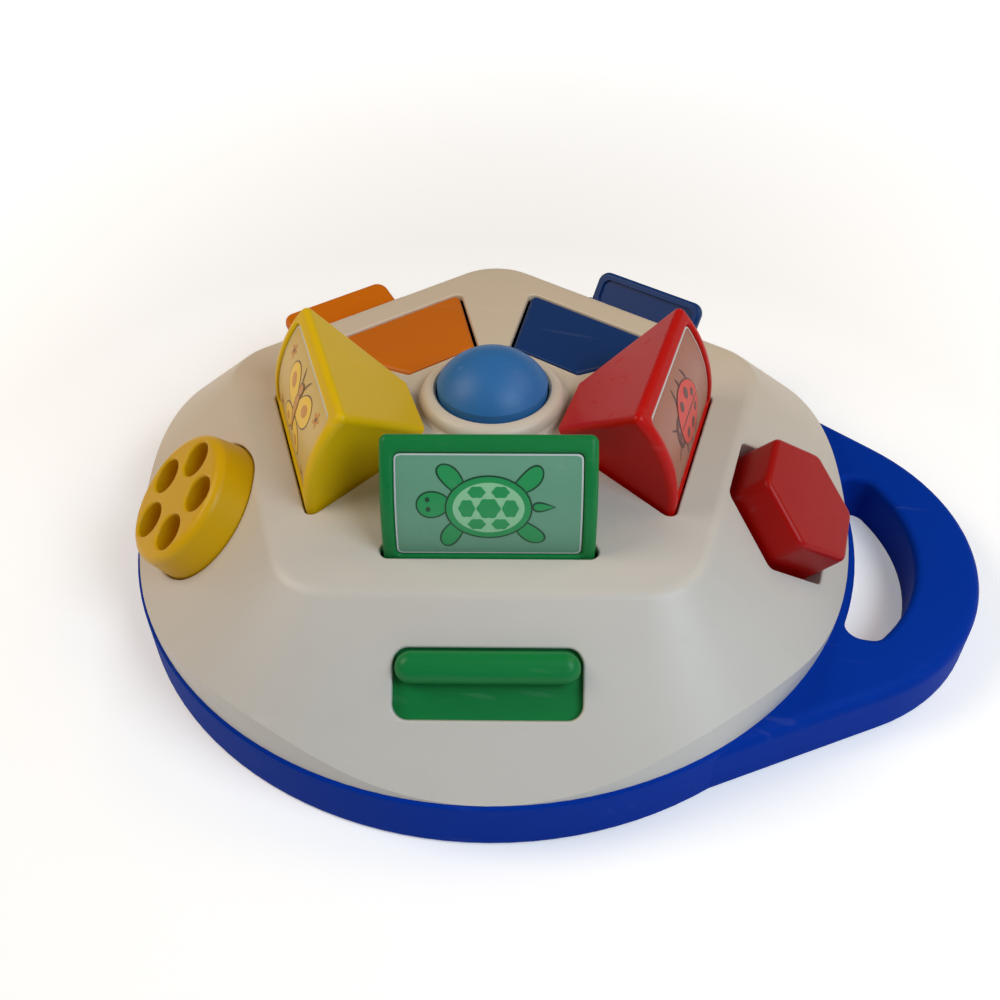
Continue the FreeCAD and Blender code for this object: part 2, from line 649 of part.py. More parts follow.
ring_z = platform_z(collar_outer)
collar_crown = (collar_outer - button_bore) * 0.35 + button_bore
collar_profile = [
    ((button_bore, collar_bottom), (button_bore, collar_top - 0.8)),
    ((button_bore, collar_top - 0.8), (button_bore + 0.8, collar_top)),
    ((button_bore + 0.8, collar_top), (collar_crown, collar_top)),
    ((collar_crown, collar_top),
     (collar_crown + (collar_outer - collar_crown) * 0.72, collar_top - (collar_outer - collar_crown) * 0.34),
     (collar_outer, collar_top - (collar_outer - collar_crown) * 1.1)),
    ((collar_outer, collar_top - (collar_outer - collar_crown) * 1.1), (collar_outer, ring_z + collar_foot * 0.6)),
    ((collar_outer, ring_z + collar_foot * 0.6),
     (collar_outer + collar_foot * 0.3, ring_z + collar_foot * 0.2),
     (collar_outer + collar_foot, ring_z - collar_foot * 0.12)),
    ((collar_outer + collar_foot, ring_z - collar_foot * 0.12),
     (collar_outer + collar_foot, ring_z - cover_wall)),
    ((collar_outer + collar_foot, ring_z - cover_wall), (button_bore + 2.4, ring_z - cover_wall)),
    ((button_bore + 2.4, ring_z - cover_wall), (button_bore + 2.4, collar_bottom)),
    ((button_bore + 2.4, collar_bottom), (button_bore, collar_bottom)),
]
collar = lathe("collar", collar_profile)
crown_bore = cylinder("crown_bore", button_bore, collar_top, frame(0.0, 0.0, base_height),
                      {"Radius": "$button_bore"})
lip_radius = base_radius - base_wall - joint_gap
lip_outer = cylinder("lip_outer", lip_radius, joint_lip + 1.5, frame(0.0, 0.0, base_height - joint_lip))
lip_inner = cylinder("lip_inner", lip_radius - cover_wall, joint_lip + 4.0,
                     frame(0.0, 0.0, base_height - joint_lip - 1.0))
joint_ring = cut("joint_ring", lip_outer, lip_inner)


# Shared shapes of the flap openings
def platform_lean(lower=0.0):
    """Placement on the platform in the hinge frame: x down the platform, z out of it, moved down by an amount."""
    return FreeCAD.Placement(FreeCAD.Vector(0, 0, hinge_depth - lower / math.cos(tilt)),
                             FreeCAD.Rotation(FreeCAD.Vector(0, 1, 0), math.degrees(tilt)))


def rib(name, parts, y0, y1, placement=None):
    """Plate with its outline in the x-z plane, between two values of y."""
    upright_turn = FreeCAD.Placement(FreeCAD.Vector(), FreeCAD.Rotation(FreeCAD.Vector(1, 0, 0), 90))
    spot = placement.multiply(upright_turn) if placement is not None else upright_turn
    return extrude(name, parts, -y1, -y0, spot)


def hinge_to_sector(ring, angle):
    """Point at a ring and a downward angle about the hinge, in sector coordinates."""
    x, z = polar(ring, -angle)
    return (hinge_radius + x, hinge_z + z)


tilt_degrees = math.degrees(tilt)
face_top = tilt_degrees - math.degrees(math.asin(hinge_depth * math.cos(tilt) / flap_outer_ring))
panel_top = face_top + math.degrees(frame_width / flap_outer_ring)
panel_end = flap_open + face_top
flap_half = slot_half_inner + side_slope * (flap_outer_ring - slot_inner_ring) - side_gap
panel_half = flap_half - frame_width
wall_side = flap_wall * math.hypot(1.0, side_slope)
nose_top = flap_bottom - lip_angle


def above_platform(name, lower):
    """Block above the platform plane in the hinge frame, moved down by an amount."""
    return box(name, -slot_outer, slot_outer, -slot_outer, slot_outer, 0.0, slot_outer, platform_lean(lower))


def flap_plan(inner, outer, inset):
    """Half section of a flap between two rings about the hinge, with its sides moved inwards."""
    near = slot_half_inner + side_slope * (inner - slot_inner_ring) - inset
    far = slot_half_inner + side_slope * (outer - slot_inner_ring) - inset
    return loop([(inner, -near), (outer, -far), (outer, far), (inner, near)])


def flap_wedge(name, inset, sweep):
    """Wedge turned about the hinge and cut by the platform plane."""
    inner = flap_inner_ring + inset
    outer = flap_outer_ring - inset - (panel_depth if inset > 0 else 0.0)
    rise = 40.0
    plan = flap_plan(inner, outer, side_gap + (wall_side if inset > 0 else 0.0))
    wedge = revolve(name + "_turn", plan, -rise, rise + sweep)
    return cut(name, wedge, above_platform(name + "_above", inset))


def in_bottom_plane(edge):
    """True for edges in the radial plane that ends the flap wall."""
    for vertex in edge.Vertexes:
        angle = -math.degrees(math.atan2(vertex.Point.z, vertex.Point.x))
        if abs(angle - flap_bottom) > 0.3:
            return False
    return True


def flap_edge(edge):
    """Rounding of a flap edge: none at the open end, small next to the hinge."""
    if in_bottom_plane(edge):
        return False
    middle = edge.valueAt((edge.FirstParameter + edge.LastParameter) / 2)
    for point in [vertex.Point for vertex in edge.Vertexes] + [middle]:
        if abs(math.hypot(point.x, point.z) - flap_inner_ring) > 0.02:
            return True
    return hinge_side_round


def radial_edge(edge):
    return edge.Curve.TypeId == "Part::GeomLine" and edge.Length < panel_depth + 6.0


def on_panel_rim(edge):
    """True for the edges where the picture panel breaks through the outer face of a flap."""
    middle = edge.valueAt((edge.FirstParameter + edge.LastParameter) / 2)
    for point in [vertex.Point for vertex in edge.Vertexes] + [middle]:
        angle = -math.degrees(math.atan2(point.z, point.x))
        if abs(math.hypot(point.x, point.z) - flap_outer_ring) > 0.02 or abs(point.y) > panel_half + 0.02:
            return False
        if angle < panel_top - 0.1 or angle > panel_end + 0.1:
            return False
    return True


def barrel(name, radius, y0, y1, placement=None):
    """Cylinder along y."""
    start = placement if placement is not None else FreeCAD.Placement()
    return cylinder(name, radius, y1 - y0, shift(start, 0, y0, 0, (0, 1, 0)))


def build_flap(name):
    """One hollow flap with its frame, stop lips, catch nose and hinge arms, in the hinge frame."""
    tag = "flap_" + name
    solid = flap_wedge(tag + "_solid", 0.0, flap_bottom)
    soft = round_edges(tag + "_soft", solid, flap_round, flap_edge)
    hollow = flap_wedge(tag + "_hollow", flap_wall, flap_bottom + 12.0)
    floor_ring = flap_outer_ring - panel_depth
    panel = revolve(tag + "_panel", loop(rectangle(floor_ring, floor_ring + panel_depth + 5.0,
                                                   -panel_half, panel_half)),
                    panel_top, panel_end - panel_top)
    panel_soft = round_edges(tag + "_panel_soft", panel, panel_corner, radial_edge)
    framed = cut(tag + "_framed", soft, panel_soft)
    rimmed = round_edges(tag + "_rimmed", framed, panel_rim, on_panel_rim)
    shell = cut(tag + "_shell", rimmed, hollow)
    extras = [shell]
    for side in (-1, 1):
        near, far = sorted((side * stop_near, side * stop_far))
        extras.append(revolve("%s_stop_%d" % (tag, side + 1),
                              loop(rectangle(flap_outer_ring - 1.0, flap_outer_ring + lip_depth, near, far)),
                              nose_top, lip_angle))
        near, far = sorted((side * arm_near, side * arm_far))
        root = flap_inner_ring + flap_wall
        arm = [polar(eye_radius * 0.95, -45), polar(flap_inner_ring + 0.1, 4 - flap_bottom),
               polar(root - 0.5, 23 - flap_bottom), polar(root + 5.3, 15 - flap_bottom),
               polar(root + 5.3, 0.6 - flap_bottom), polar(root - 0.2, -38 - flap_bottom),
               polar(eye_radius * 0.95, -130)]
        extras.append(rib("%s_arm_%d" % (tag, side + 1), loop(arm), near, far))
        extras.append(barrel("%s_eye_%d" % (tag, side + 1), eye_radius, near, far))
    extras.append(revolve(tag + "_nose",
                          loop(rectangle(flap_outer_ring - 1.0, flap_outer_ring + nose_depth,
                                         nose_near, nose_far)), nose_top, lip_angle))
    full = join(tag + "_full", extras)
    bore = barrel(tag + "_bore", pin_radius + pin_fit, -arm_far - 1.0, arm_far + 1.0)
    done = cut(tag, full, bore)
    done.Placement = hinge_frame(sector_angle[name], opened_now[name])
    node(tag, done)


def build_sticker(name):
    """Thin sheet on the picture panel of a flap."""
    tag = "sticker_" + name
    low = flap_outer_ring - panel_depth + 0.02
    inset = math.degrees(sticker_gap / flap_outer_ring)
    half = panel_half - sticker_gap
    sheet_turn = revolve(tag + "_turn", loop(rectangle(low, low + sticker_thick, -half, half)),
                         panel_top + inset, panel_end - panel_top - 2 * inset)
    soft = round_edges(tag, sheet_turn, panel_corner - sticker_gap, radial_edge)
    soft.Placement = hinge_frame(sector_angle[name], opened_now[name])
    node(tag, soft)


def coil_tube(name, radius, wire, pitch, height, placement):
    """Wire swept along a helix."""
    helix = doc.addObject("Part::Helix", name + "_path")
    helix.Pitch = pitch
    helix.Height = height
    helix.Radius = radius
    ring = doc.addObject("Part::Circle", name + "_wire")
    ring.Radius = wire / 2
    ring.Placement = FreeCAD.Placement(FreeCAD.Vector(radius, 0, 0), FreeCAD.Rotation(FreeCAD.Vector(1, 0, 0), 90))
    sweep = doc.addObject("Part::Sweep", name)
    sweep.Sections = [ring]
    sweep.Spine = (helix, [])
    sweep.Solid = True
    sweep.Frenet = True
    sweep.Placement = placement
    return sweep


def build_hinge_spring(name):
    """Coil round the hinge pin, with one leg under the flap and one in a notch of the cover."""
    tag = "hinge_spring_" + name
    leg = opened_now[name] - flap_bottom - leg_lag
    anchor = leg_anchor
    turns = coil_turns + (anchor - leg) / 360.0
    half = lug_near - coil_wire / 2 - slide_gap * 2
    start = FreeCAD.Placement(FreeCAD.Vector(0, half, 0), FreeCAD.Rotation(
        FreeCAD.Vector(polar(1, leg)[0], 0, polar(1, leg)[1]),
        FreeCAD.Vector(-polar(1, leg)[1], 0, polar(1, leg)[0]),
        FreeCAD.Vector(0, -1, 0), "ZXY"))
    coil = coil_tube(tag + "_coil", coil_radius, coil_wire, 2 * half / turns, 2 * half, start)
    reach = flap_inner_ring + flap_wall * 0.7
    legs = []
    for part, angle, y, end in (("flap", leg, half, reach), ("cover", anchor, -half, notch_top - 0.15)):
        way = (polar(1, angle)[0], 0, polar(1, angle)[1])
        begin = coil_radius - coil_wire * 0.3
        spot = shift(FreeCAD.Placement(), way[0] * begin, y, way[2] * begin, way)
        legs.append(cylinder("%s_leg_%s" % (tag, part), coil_wire / 2, end - begin, spot))
    whole = join(tag, [coil] + legs)
    whole.Placement = hinge_frame(sector_angle[name], 0.0)
    node(tag, whole)


def latch_outline():
    """Side view of a latch leaf in sector coordinates."""
    hook_ring = flap_outer_ring + 0.4
    hook_angle = nose_top - math.degrees(latch_gap / hook_ring)
    clear_ring = flap_outer_ring + nose_depth + 0.6
    tip = hinge_to_sector(hook_ring, hook_angle)
    top = hinge_to_sector(hook_ring, hook_angle - 4.0)
    throat = hinge_to_sector(clear_ring, hook_angle)
    low = floor_thick
    return [(leaf_inner, low), (leaf_outer, low), (leaf_outer, arm_low), (leaf_reach, arm_low),
            (leaf_reach, arm_high), (top[0] + 4.5, arm_high), top, tip, throat, (leaf_inner, throat[1] - 1.8)]


def build_latch(name):
    """Upright leaf on a foot. Its hook holds the catch nose of a shut flap, its arm reaches the actuator."""
    tag = "latch_" + name
    spot = frame(sector_angle[name])
    leaf = rib(tag + "_leaf", loop(latch_outline()), latch_near, latch_near + latch_thick, spot)
    foot = box(tag + "_foot", leaf_inner - 2.0, leaf_outer + 2.0, latch_near - 2.4,
               latch_near + latch_thick + 3.0, floor_thick, floor_thick + 3.0, spot)
    pieces = [leaf, foot]
    if name == "red":
        ramp_top = arm_high - 1.8
        ramp = [(latch_near + 0.5, arm_low), (latch_near + 0.5, ramp_top), (latch_near - 0.2, ramp_top),
                (latch_near - 5.0, arm_low)]
        turn = FreeCAD.Placement(FreeCAD.Vector(leaf_reach - 8.0, 0, 0), FreeCAD.Rotation(
            FreeCAD.Vector(0, 1, 0), FreeCAD.Vector(0, 0, 1), FreeCAD.Vector(1, 0, 0), "ZXY"))
        pieces.append(extrude(tag + "_ramp", loop(ramp), 0.0, 8.0, spot.multiply(turn)))
    node(tag, join(tag, pieces))


# Openings of the cover, with rounded mouths
flap_slots = []
slot_plan = rounded_loop([(slot_near, -slot_half_inner), (slot_far, -slot_half_outer),
                          (slot_far, slot_half_outer), (slot_near, slot_half_inner)],
                         [slot_corner_inner, slot_corner, slot_corner, slot_corner_inner])
for name in sectors:
    flap_slots.append(extrude("slot_" + name, slot_plan, -cover_wall - 3.0, 8.0,
                              hinge_frame(sector_angle[name], 0.0).multiply(platform_lean())))
green_spot = facet_frame(sector_angle["green"])
red_spot = facet_frame(sector_angle["red"])
yellow_spot = facet_frame(sector_angle["yellow"])
drum_half = lever_half + drum_beyond
cheek_near = drum_half + lever_gap
well_inside = knob_apothem + knob_gap
window = rounded_loop(rectangle(-window_half, window_half, -window_down, window_up), window_corner)
knob_hole = extrude("knob_hole", rounded_loop(hexagon(well_inside), well_corner),
                    -well_depth - 2.0, 8.0, red_spot)
mouth_tools = flap_slots + [
    extrude("slider_window", window, -8.0, 8.0, green_spot),
    cylinder("dial_hole", dial_radius + dial_gap, 16.0, shift(yellow_spot, 0, 0, -8.0),
             {"Radius": "$dial_radius + $dial_gap"}),
    knob_hole,
]
for name in ("blue", "orange"):
    lever_plan = rounded_loop(rectangle(-cheek_near, cheek_near, -lever_window, lever_window), 2.0)
    mouth_tools.append(extrude("lever_window_" + name, lever_plan, -cover_wall - 2.0, 8.0,
                               facet_frame(sector_angle[name])))


def on_mouth(edge):
    """True for an edge of an opening that lies in the outer face of its sector."""
    middle = edge.valueAt((edge.FirstParameter + edge.LastParameter) / 2)
    ends = [vertex.Point for vertex in edge.Vertexes] + [middle]
    for name in sectors:
        platform = hinge_frame(sector_angle[name], 0.0).inverse()
        slope = facet_frame(sector_angle[name]).inverse()
        flat = [platform.multVec(p) for p in ends]
        if all(abs(p.z + platform_rise * p.x - hinge_depth) < 0.02 for p in flat):
            near = min(math.hypot(p.x, p.z) for p in flat)
            far = max(math.hypot(p.x, p.z) for p in flat)
            wide = max(abs(p.y) for p in flat)
            if near > slot_inner_ring - 0.5 and far < slot_outer_ring + 0.5 and wide < slot_half_outer + 0.5:
                return True
        steep = [slope.multVec(p) for p in ends]
        if all(abs(p.z) < 0.02 for p in steep):
            if max(abs(p.x) for p in steep) < boss_offset - boss_radius and max(abs(p.y) for p in steep) < facet_middle:
                return True
    return False


crown = cut("cover_crown", cover_shell, crown_bore)
pierced = cut("cover_pierced", crown, join("cover_mouths", mouth_tools))
cover_adds = [round_edges("cover_soft", pierced, mouth_round, on_mouth), collar, joint_ring]

# Cover details
cover_cuts = []
for name in sectors:
    spot = hinge_frame(sector_angle[name], 0.0)
    for side in (-1, 1):
        near, far = sorted((side * lug_near, side * lug_far))
        tag = "%s_%d" % (name, side + 1)
        cover_adds.append(barrel("lug_" + tag, eye_radius, near, far, spot))
        cover_adds.append(box("lug_root_" + tag, -eye_radius, eye_radius, near, far, 0.0,
                              hinge_depth - 0.6, spot))
        near, far = sorted((side * (arm_near - slide_gap), side * (arm_far + slide_gap)))
        cover_cuts.append(barrel("eye_pocket_" + tag, eye_radius + eye_room, near, far, spot))
    cover_cuts.append(barrel("spring_pocket_" + name, coil_radius + coil_wire / 2 + eye_room,
                             slide_gap - lug_near, lug_near - slide_gap, spot))
    way = (polar(1, leg_anchor)[0], 0, polar(1, leg_anchor)[1])
    side_y = -(lug_near - coil_wire / 2 - slide_gap * 2)
    cover_cuts.append(cylinder("notch_" + name, coil_wire / 2 + 0.15, notch_top, shift(spot, 0, side_y, 0, way)))
    cover_cuts.append(barrel("lug_bore_" + name, pin_radius + pin_fit, -lug_far - 0.5, lug_far + 0.5, spot))

case_bosses = []
for name in sectors:
    spot = frame(sector_angle[name] + sector_step / 2, case_screw_circle, case_split + 0.02)
    case_bosses.append(cylinder("case_boss_" + name, case_post - 0.5, platform_edge_height - case_split, spot))
    cover_cuts.append(cylinder("case_pilot_" + name, case_screw + pin_fit,
                               case_head_seat + case_screw_length - case_split + 1.0, spot))
boss_limit = join("boss_limit", [outer_shape, cylinder("boss_low", disc_radius - 10.0, base_height + 0.5,
                                                       frame(0.0, 0.0, 0.0))])
cover_adds.append(overlap("case_bosses", [join("case_boss_set", case_bosses), boss_limit]))

bracket_depth = {"green": cover_wall + slide_gap * 2 + slider_plate, "yellow": dial_plate,
                 "red": well_depth + knob_travel + knob_flange + slide_gap * 5}
bite = {name: min(screw_bite, bracket_depth[name] - boss_skin) for name in bracket_depth}
for name in ("green", "red", "yellow"):
    spot = facet_frame(sector_angle[name])
    for side in (-1, 1):
        tag = "%s_%d" % (name, side + 1)
        depth = bracket_depth[name]
        cover_adds.append(cylinder("boss_" + tag, boss_radius, depth - 1.0,
                                   shift(spot, side * boss_offset, 0, -depth)))
        cover_cuts.append(cylinder("boss_pilot_" + tag, small_screw + pin_fit, bite[name] + 0.5,
                                   shift(spot, side * boss_offset, 0, -depth - 0.5)))

cover_adds.append(extrude("knob_well", rounded_loop(hexagon(well_inside + well_wall), well_corner + well_wall),
                          -well_depth, -1.0, red_spot))
cover_cuts.append(knob_hole)
lever_angle_now = {"blue": lever_up, "orange": -lever_down}
for name in ("blue", "orange"):
    spot = facet_frame(sector_angle[name])
    for side in (-1, 1):
        near, far = sorted((side * cheek_near, side * (cheek_near + cheek_wall)))
        cover_adds.append(box("cheek_%s_%d" % (name, side + 1), near, far, -cheek_half, cheek_half,
                              -lever_axis - 4.5, -1.0, spot))
    pin_way = shift(spot, -cheek_near - cheek_wall - 1.0, 0, -lever_axis, (1, 0, 0))
    cover_cuts.append(cylinder("cheek_bore_" + name, lever_pin + pin_fit, 2 * (cheek_near + cheek_wall + 1.0),
                               pin_way))
cover_full = join("cover_full", cover_adds)
node("top_cover", cut("top_cover", cover_full, join("cover_openings", cover_cuts)))

for name in sectors:
    build_flap(name)
    build_sticker(name)
    build_hinge_spring(name)
    build_latch(name)

pins = []
for name in sectors:
    half = arm_far + slide_gap / 2
    pins.append(barrel("hinge_pin_" + name, pin_radius, -half, half, hinge_frame(sector_angle[name], 0.0)))
pin_group = doc.addObject("Part::Compound", "flap_hinge_pins")
pin_group.Links = pins
node("flap_hinge_pins", pin_group)


# Screws
def screw(name, radius, head, head_thick, length, placement):
    """Pan head screw along its own z axis, with the head below zero."""
    outline = [(0.0, -head_thick), (head * 0.7, -head_thick), (head, -head_thick * 0.45), (head, 0.0),
               (radius, 0.0), (radius, length - radius), (0.0, length)]
    return lathe(name, loop(outline), placement)


case_screws = []
for name in sectors:
    spot = frame(sector_angle[name] + sector_step / 2, case_screw_circle, case_head_seat)
    case_screws.append(screw("case_screw_" + name, case_screw, case_head, case_head_thick,
                             case_screw_length, spot))
screw_group = doc.addObject("Part::Compound", "case_screws")
screw_group.Links = case_screws
node("case_screws", screw_group)

bracket_screws = []
for name in ("green", "red", "yellow"):
    for side in (-1, 1):
        spot = shift(facet_frame(sector_angle[name]), side * boss_offset, 0,
                     -bracket_depth[name] - bracket_thick)
        bracket_screws.append(screw("bracket_screw_%s_%d" % (name, side + 1), small_screw, small_head, 1.6,
                                    bracket_thick + bite[name] - 0.6, spot))
bracket_group = doc.addObject("Part::Compound", "bracket_screws")
bracket_group.Links = bracket_screws
node("bracket_screws", bracket_group)


# Brackets behind the slider, the dial and the knob
def build_bracket(tag, name, half_width, centre_hole):
    depth = bracket_depth[name]
    reach = boss_offset + boss_radius + 1.0
    plan = rounded_loop(rectangle(-reach, reach, -half_width, half_width), 3.0)
    plate = extrude(tag + "_plate", plan, -depth - bracket_thick, -depth)
    holes = [centre_hole]
    for side in (-1, 1):
        holes.append(cylinder("%s_hole_%d" % (tag, side + 1), small_screw + 0.1, bracket_thick + 2.0,
                              shift(FreeCAD.Placement(), side * boss_offset, 0, -depth - bracket_thick - 1.0)))
    done = cut(tag, plate, join(tag + "_holes", holes))
    done.Placement = facet_frame(sector_angle[name])
    node(tag, done)


tail_low = tail_near_v - slider_travel - slide_gap
tail_slot = box("tail_slot", tail_left - slide_gap, tail_wide + slide_gap, tail_low, tail_far_v + slide_gap,
                -bracket_depth["green"] - bracket_thick - 1.0, 0.0)
build_bracket("slider_keeper", "green", keeper_half, tail_slot)
build_bracket("dial_bracket", "yellow", bracket_half,
              cylinder("spigot_hole", spigot_radius + slide_gap, 40.0, frame(0.0, 0.0, -40.0)))
build_bracket("knob_bracket", "red", knob_coil + spring_wire + 2.0,
              cylinder("stem_hole", knob_stem + slide_gap, 40.0, frame(0.0, 0.0, -40.0)))

# Slider with its grip bar and release tail
plate_top = -cover_wall - slide_gap
plate_low = plate_top - slider_plate
slider_base = extrude("slider_base", rounded_loop(rectangle(-window_half - 3.0, window_half + 3.0,
                                                            -window_down - 2.5, window_up + slider_travel + 2.0),
                                                  2.0), plate_low, plate_top)
bar_top = window_up - bar_gap
bar_end = window_half - bar_gap
bar_r = bar_width / 2
bar_plan = [
    ((-bar_end + bar_r, bar_top - bar_width), (bar_end - bar_r, bar_top - bar_width)),
    ((bar_end - bar_r, bar_top - bar_width), (bar_end, bar_top - bar_r), (bar_end - bar_r, bar_top)),
    ((bar_end - bar_r, bar_top), (-bar_end + bar_r, bar_top)),
    ((-bar_end + bar_r, bar_top), (-bar_end, bar_top - bar_r), (-bar_end + bar_r, bar_top - bar_width)),
]
bar_block = extrude("bar_block", bar_plan, plate_low + 0.5, bar_height)
bar_soft = round_edges("bar_soft", bar_block, bar_r * 0.82, lambda e: at_height(e, bar_height))
tail_plan = loop([(tail_left, tail_near_v), (tail_right, tail_near_v), (tail_right, tail_near_v + 3.0),
                  (tail_wide, tail_far_v), (tail_left, tail_far_v)])
slider_tail = extrude("slider_tail", tail_plan, -tail_depth, plate_low + 0.5)
slider = join("slider_green", [slider_base, bar_soft, slider_tail])
slider.Placement = green_spot
node("slider_green", slider)

# Dial with five finger holes, and the cam behind it
flange_top = -cover_wall - slide_gap * 3
spigot_end = -dial_plate - bracket_thick - slide_gap
dial_lip = dial_radius + dial_gap + 0.1
dial_flange = dial_lip + 1.9
skin = hole_depth + hole_floor
side_lean = (dial_radius - dial_face) / dial_height
bevel_side = dial_height - dial_bevel
profile = [
    ((0.0, dial_height), (dial_face - dial_bevel, dial_height)),
    ((dial_face - dial_bevel, dial_height),
     (dial_face - dial_bevel * 0.26, dial_height - dial_bevel * 0.28),
     (dial_face + side_lean * dial_bevel, bevel_side)),
    ((dial_face + side_lean * dial_bevel, bevel_side), (dial_radius, 0.0)),
    ((dial_radius, 0.0), (dial_radius, flange_top)),
    ((dial_radius, flange_top), (dial_lip, flange_top)),
    ((dial_lip, flange_top), (dial_flange, flange_top - 2.1)),
    ((dial_flange, flange_top - 2.1), (dial_flange, flange_top - 2.7)),
    ((dial_flange, flange_top - 2.7), (dial_radius - 2.6, flange_top - 2.7)),
    ((dial_radius - 2.6, flange_top - 2.7), (dial_radius - 2.6, dial_height - skin)),
    ((dial_radius - 2.6, dial_height - skin), (spigot_radius + 3.0, dial_height - skin)),
    ((spigot_radius + 3.0, dial_height - skin), (spigot_radius + 3.0, slide_gap - dial_plate)),
    ((spigot_radius + 3.0, slide_gap - dial_plate), (spigot_radius, slide_gap - dial_plate)),
    ((spigot_radius, slide_gap - dial_plate), (spigot_radius, spigot_end)),
    ((spigot_radius, spigot_end), (0.0, spigot_end)),
    ((0.0, spigot_end), (0.0, dial_height)),
]
dial_body = lathe("dial_body", profile)
finger_holes = []
for i in range(5):
    x, y = polar(hole_pitch, hole_phase + 72.0 * i)
    finger_holes.append(cylinder("finger_hole_%d" % i, hole_radius, hole_depth + 1.0,
                                 frame(0.0).multiply(FreeCAD.Placement(
                                     FreeCAD.Vector(x, y, dial_height - hole_depth), FreeCAD.Rotation())),
                                 {"Radius": "$hole_radius"}))
dial_pilot = cylinder("dial_pilot", small_screw + pin_fit, 9.0, frame(0.0, 0.0, spigot_end - 1.0))
dial_cut = cut("dial_cut", dial_body, join("dial_holes", finger_holes + [dial_pilot]))


def hole_mouth(edge):
    box_ = edge.BoundBox
    return at_height(edge, dial_height) and box_.XLength < 2 * hole_radius + 1.0


dial = round_edges("dial_yellow", dial_cut, hole_edge, hole_mouth)
dial.Placement = yellow_spot
node("dial_yellow", dial)

cam_outline = doc.addObject("Part::Ellipse", "cam_outline")
cam_outline.MajorRadius = cam_long
cam_outline.MinorRadius = cam_short
cam_outline.Placement = FreeCAD.Placement(FreeCAD.Vector(0, 0, spigot_end - cam_height),
                                          FreeCAD.Rotation(FreeCAD.Vector(0, 0, 1), 90))
cam_block = doc.addObject("Part::Extrusion", "cam_block")
cam_block.Base = cam_outline
cam_block.DirMode = "Custom"
cam_block.Dir = FreeCAD.Vector(0, 0, 1)
cam_block.LengthFwd = cam_height
cam_block.Solid = True
cam_bore = cylinder("cam_bore", small_screw + 0.1, cam_height + 2.0, frame(0.0, 0.0, spigot_end - cam_height - 1.0))
cam_seat = cylinder("cam_seat", small_head + slide_gap, cam_height - 3.0,
                    frame(0.0, 0.0, spigot_end - cam_height - 1.0))
cam = cut("dial_cam", cam_block, join("cam_bores", [cam_bore, cam_seat]))
cam.Placement = yellow_spot
node("dial_cam", cam)
node("dial_screw", screw("dial_screw", small_screw, small_head, 1.6, 4.0 + 6.0,
                         shift(yellow_spot, 0, 0, spigot_end - 4.0)))


# Push knob
def hex_loft(name, levels):
    """Ruled loft through hexagons given as (height, half width, corner radius)."""
    outlines = []
    for i, (level, apothem, corner) in enumerate(levels):
        outlines.append(sketch("%s_level_%d" % (name, i), rounded_loop(hexagon(apothem), corner),
                               frame(0.0, 0.0, level)))
    loft = doc.addObject("Part::Loft", name)
    loft.Sections = outlines
    loft.Solid = True
    loft.Ruled = True
    return loft


knob_foot = -well_depth - slide_gap - knob_flange
knob_outer = hex_loft("knob_outer", [(knob_foot, knob_apothem, knob_corner), (0.0, knob_apothem, knob_corner),
                                     (knob_height, knob_face, knob_corner)])
knob_soft = round_edges("knob_soft", knob_outer, knob_round, lambda e: at_height(e, knob_height))
knob_rim = extrude("knob_rim", rounded_loop(hexagon(well_inside + well_wall * 0.8), well_corner),
                   knob_foot, knob_foot + knob_flange)
inner_corner = knob_corner - knob_wall
knob_inner = hex_loft("knob_inner", [(knob_foot - 1.0, knob_apothem - knob_wall, inner_corner),
                                     (0.0, knob_apothem - knob_wall, inner_corner),
                                     (knob_height - knob_wall, knob_face - knob_wall, inner_corner)])
knob_shell = cut("knob_shell", join("knob_block", [knob_soft, knob_rim]), knob_inner)
knob_stem_rod = cylinder("knob_stem_rod", knob_stem, stem_end + knob_height - 1.0, frame(0.0, 0.0, -stem_end))
knob = join("knob_red", [knob_shell, knob_stem_rod])
knob.Placement = red_spot
node("knob_red", knob)
knob_seat = -bracket_depth["red"]
knob_room = knob_height - knob_wall - knob_seat - spring_wire
node("knob_spring", coil_tube("knob_spring", knob_coil, spring_wire, knob_room / 6.0, knob_room,
                              shift(red_spot, 0, 0, knob_seat + spring_wire / 2)))


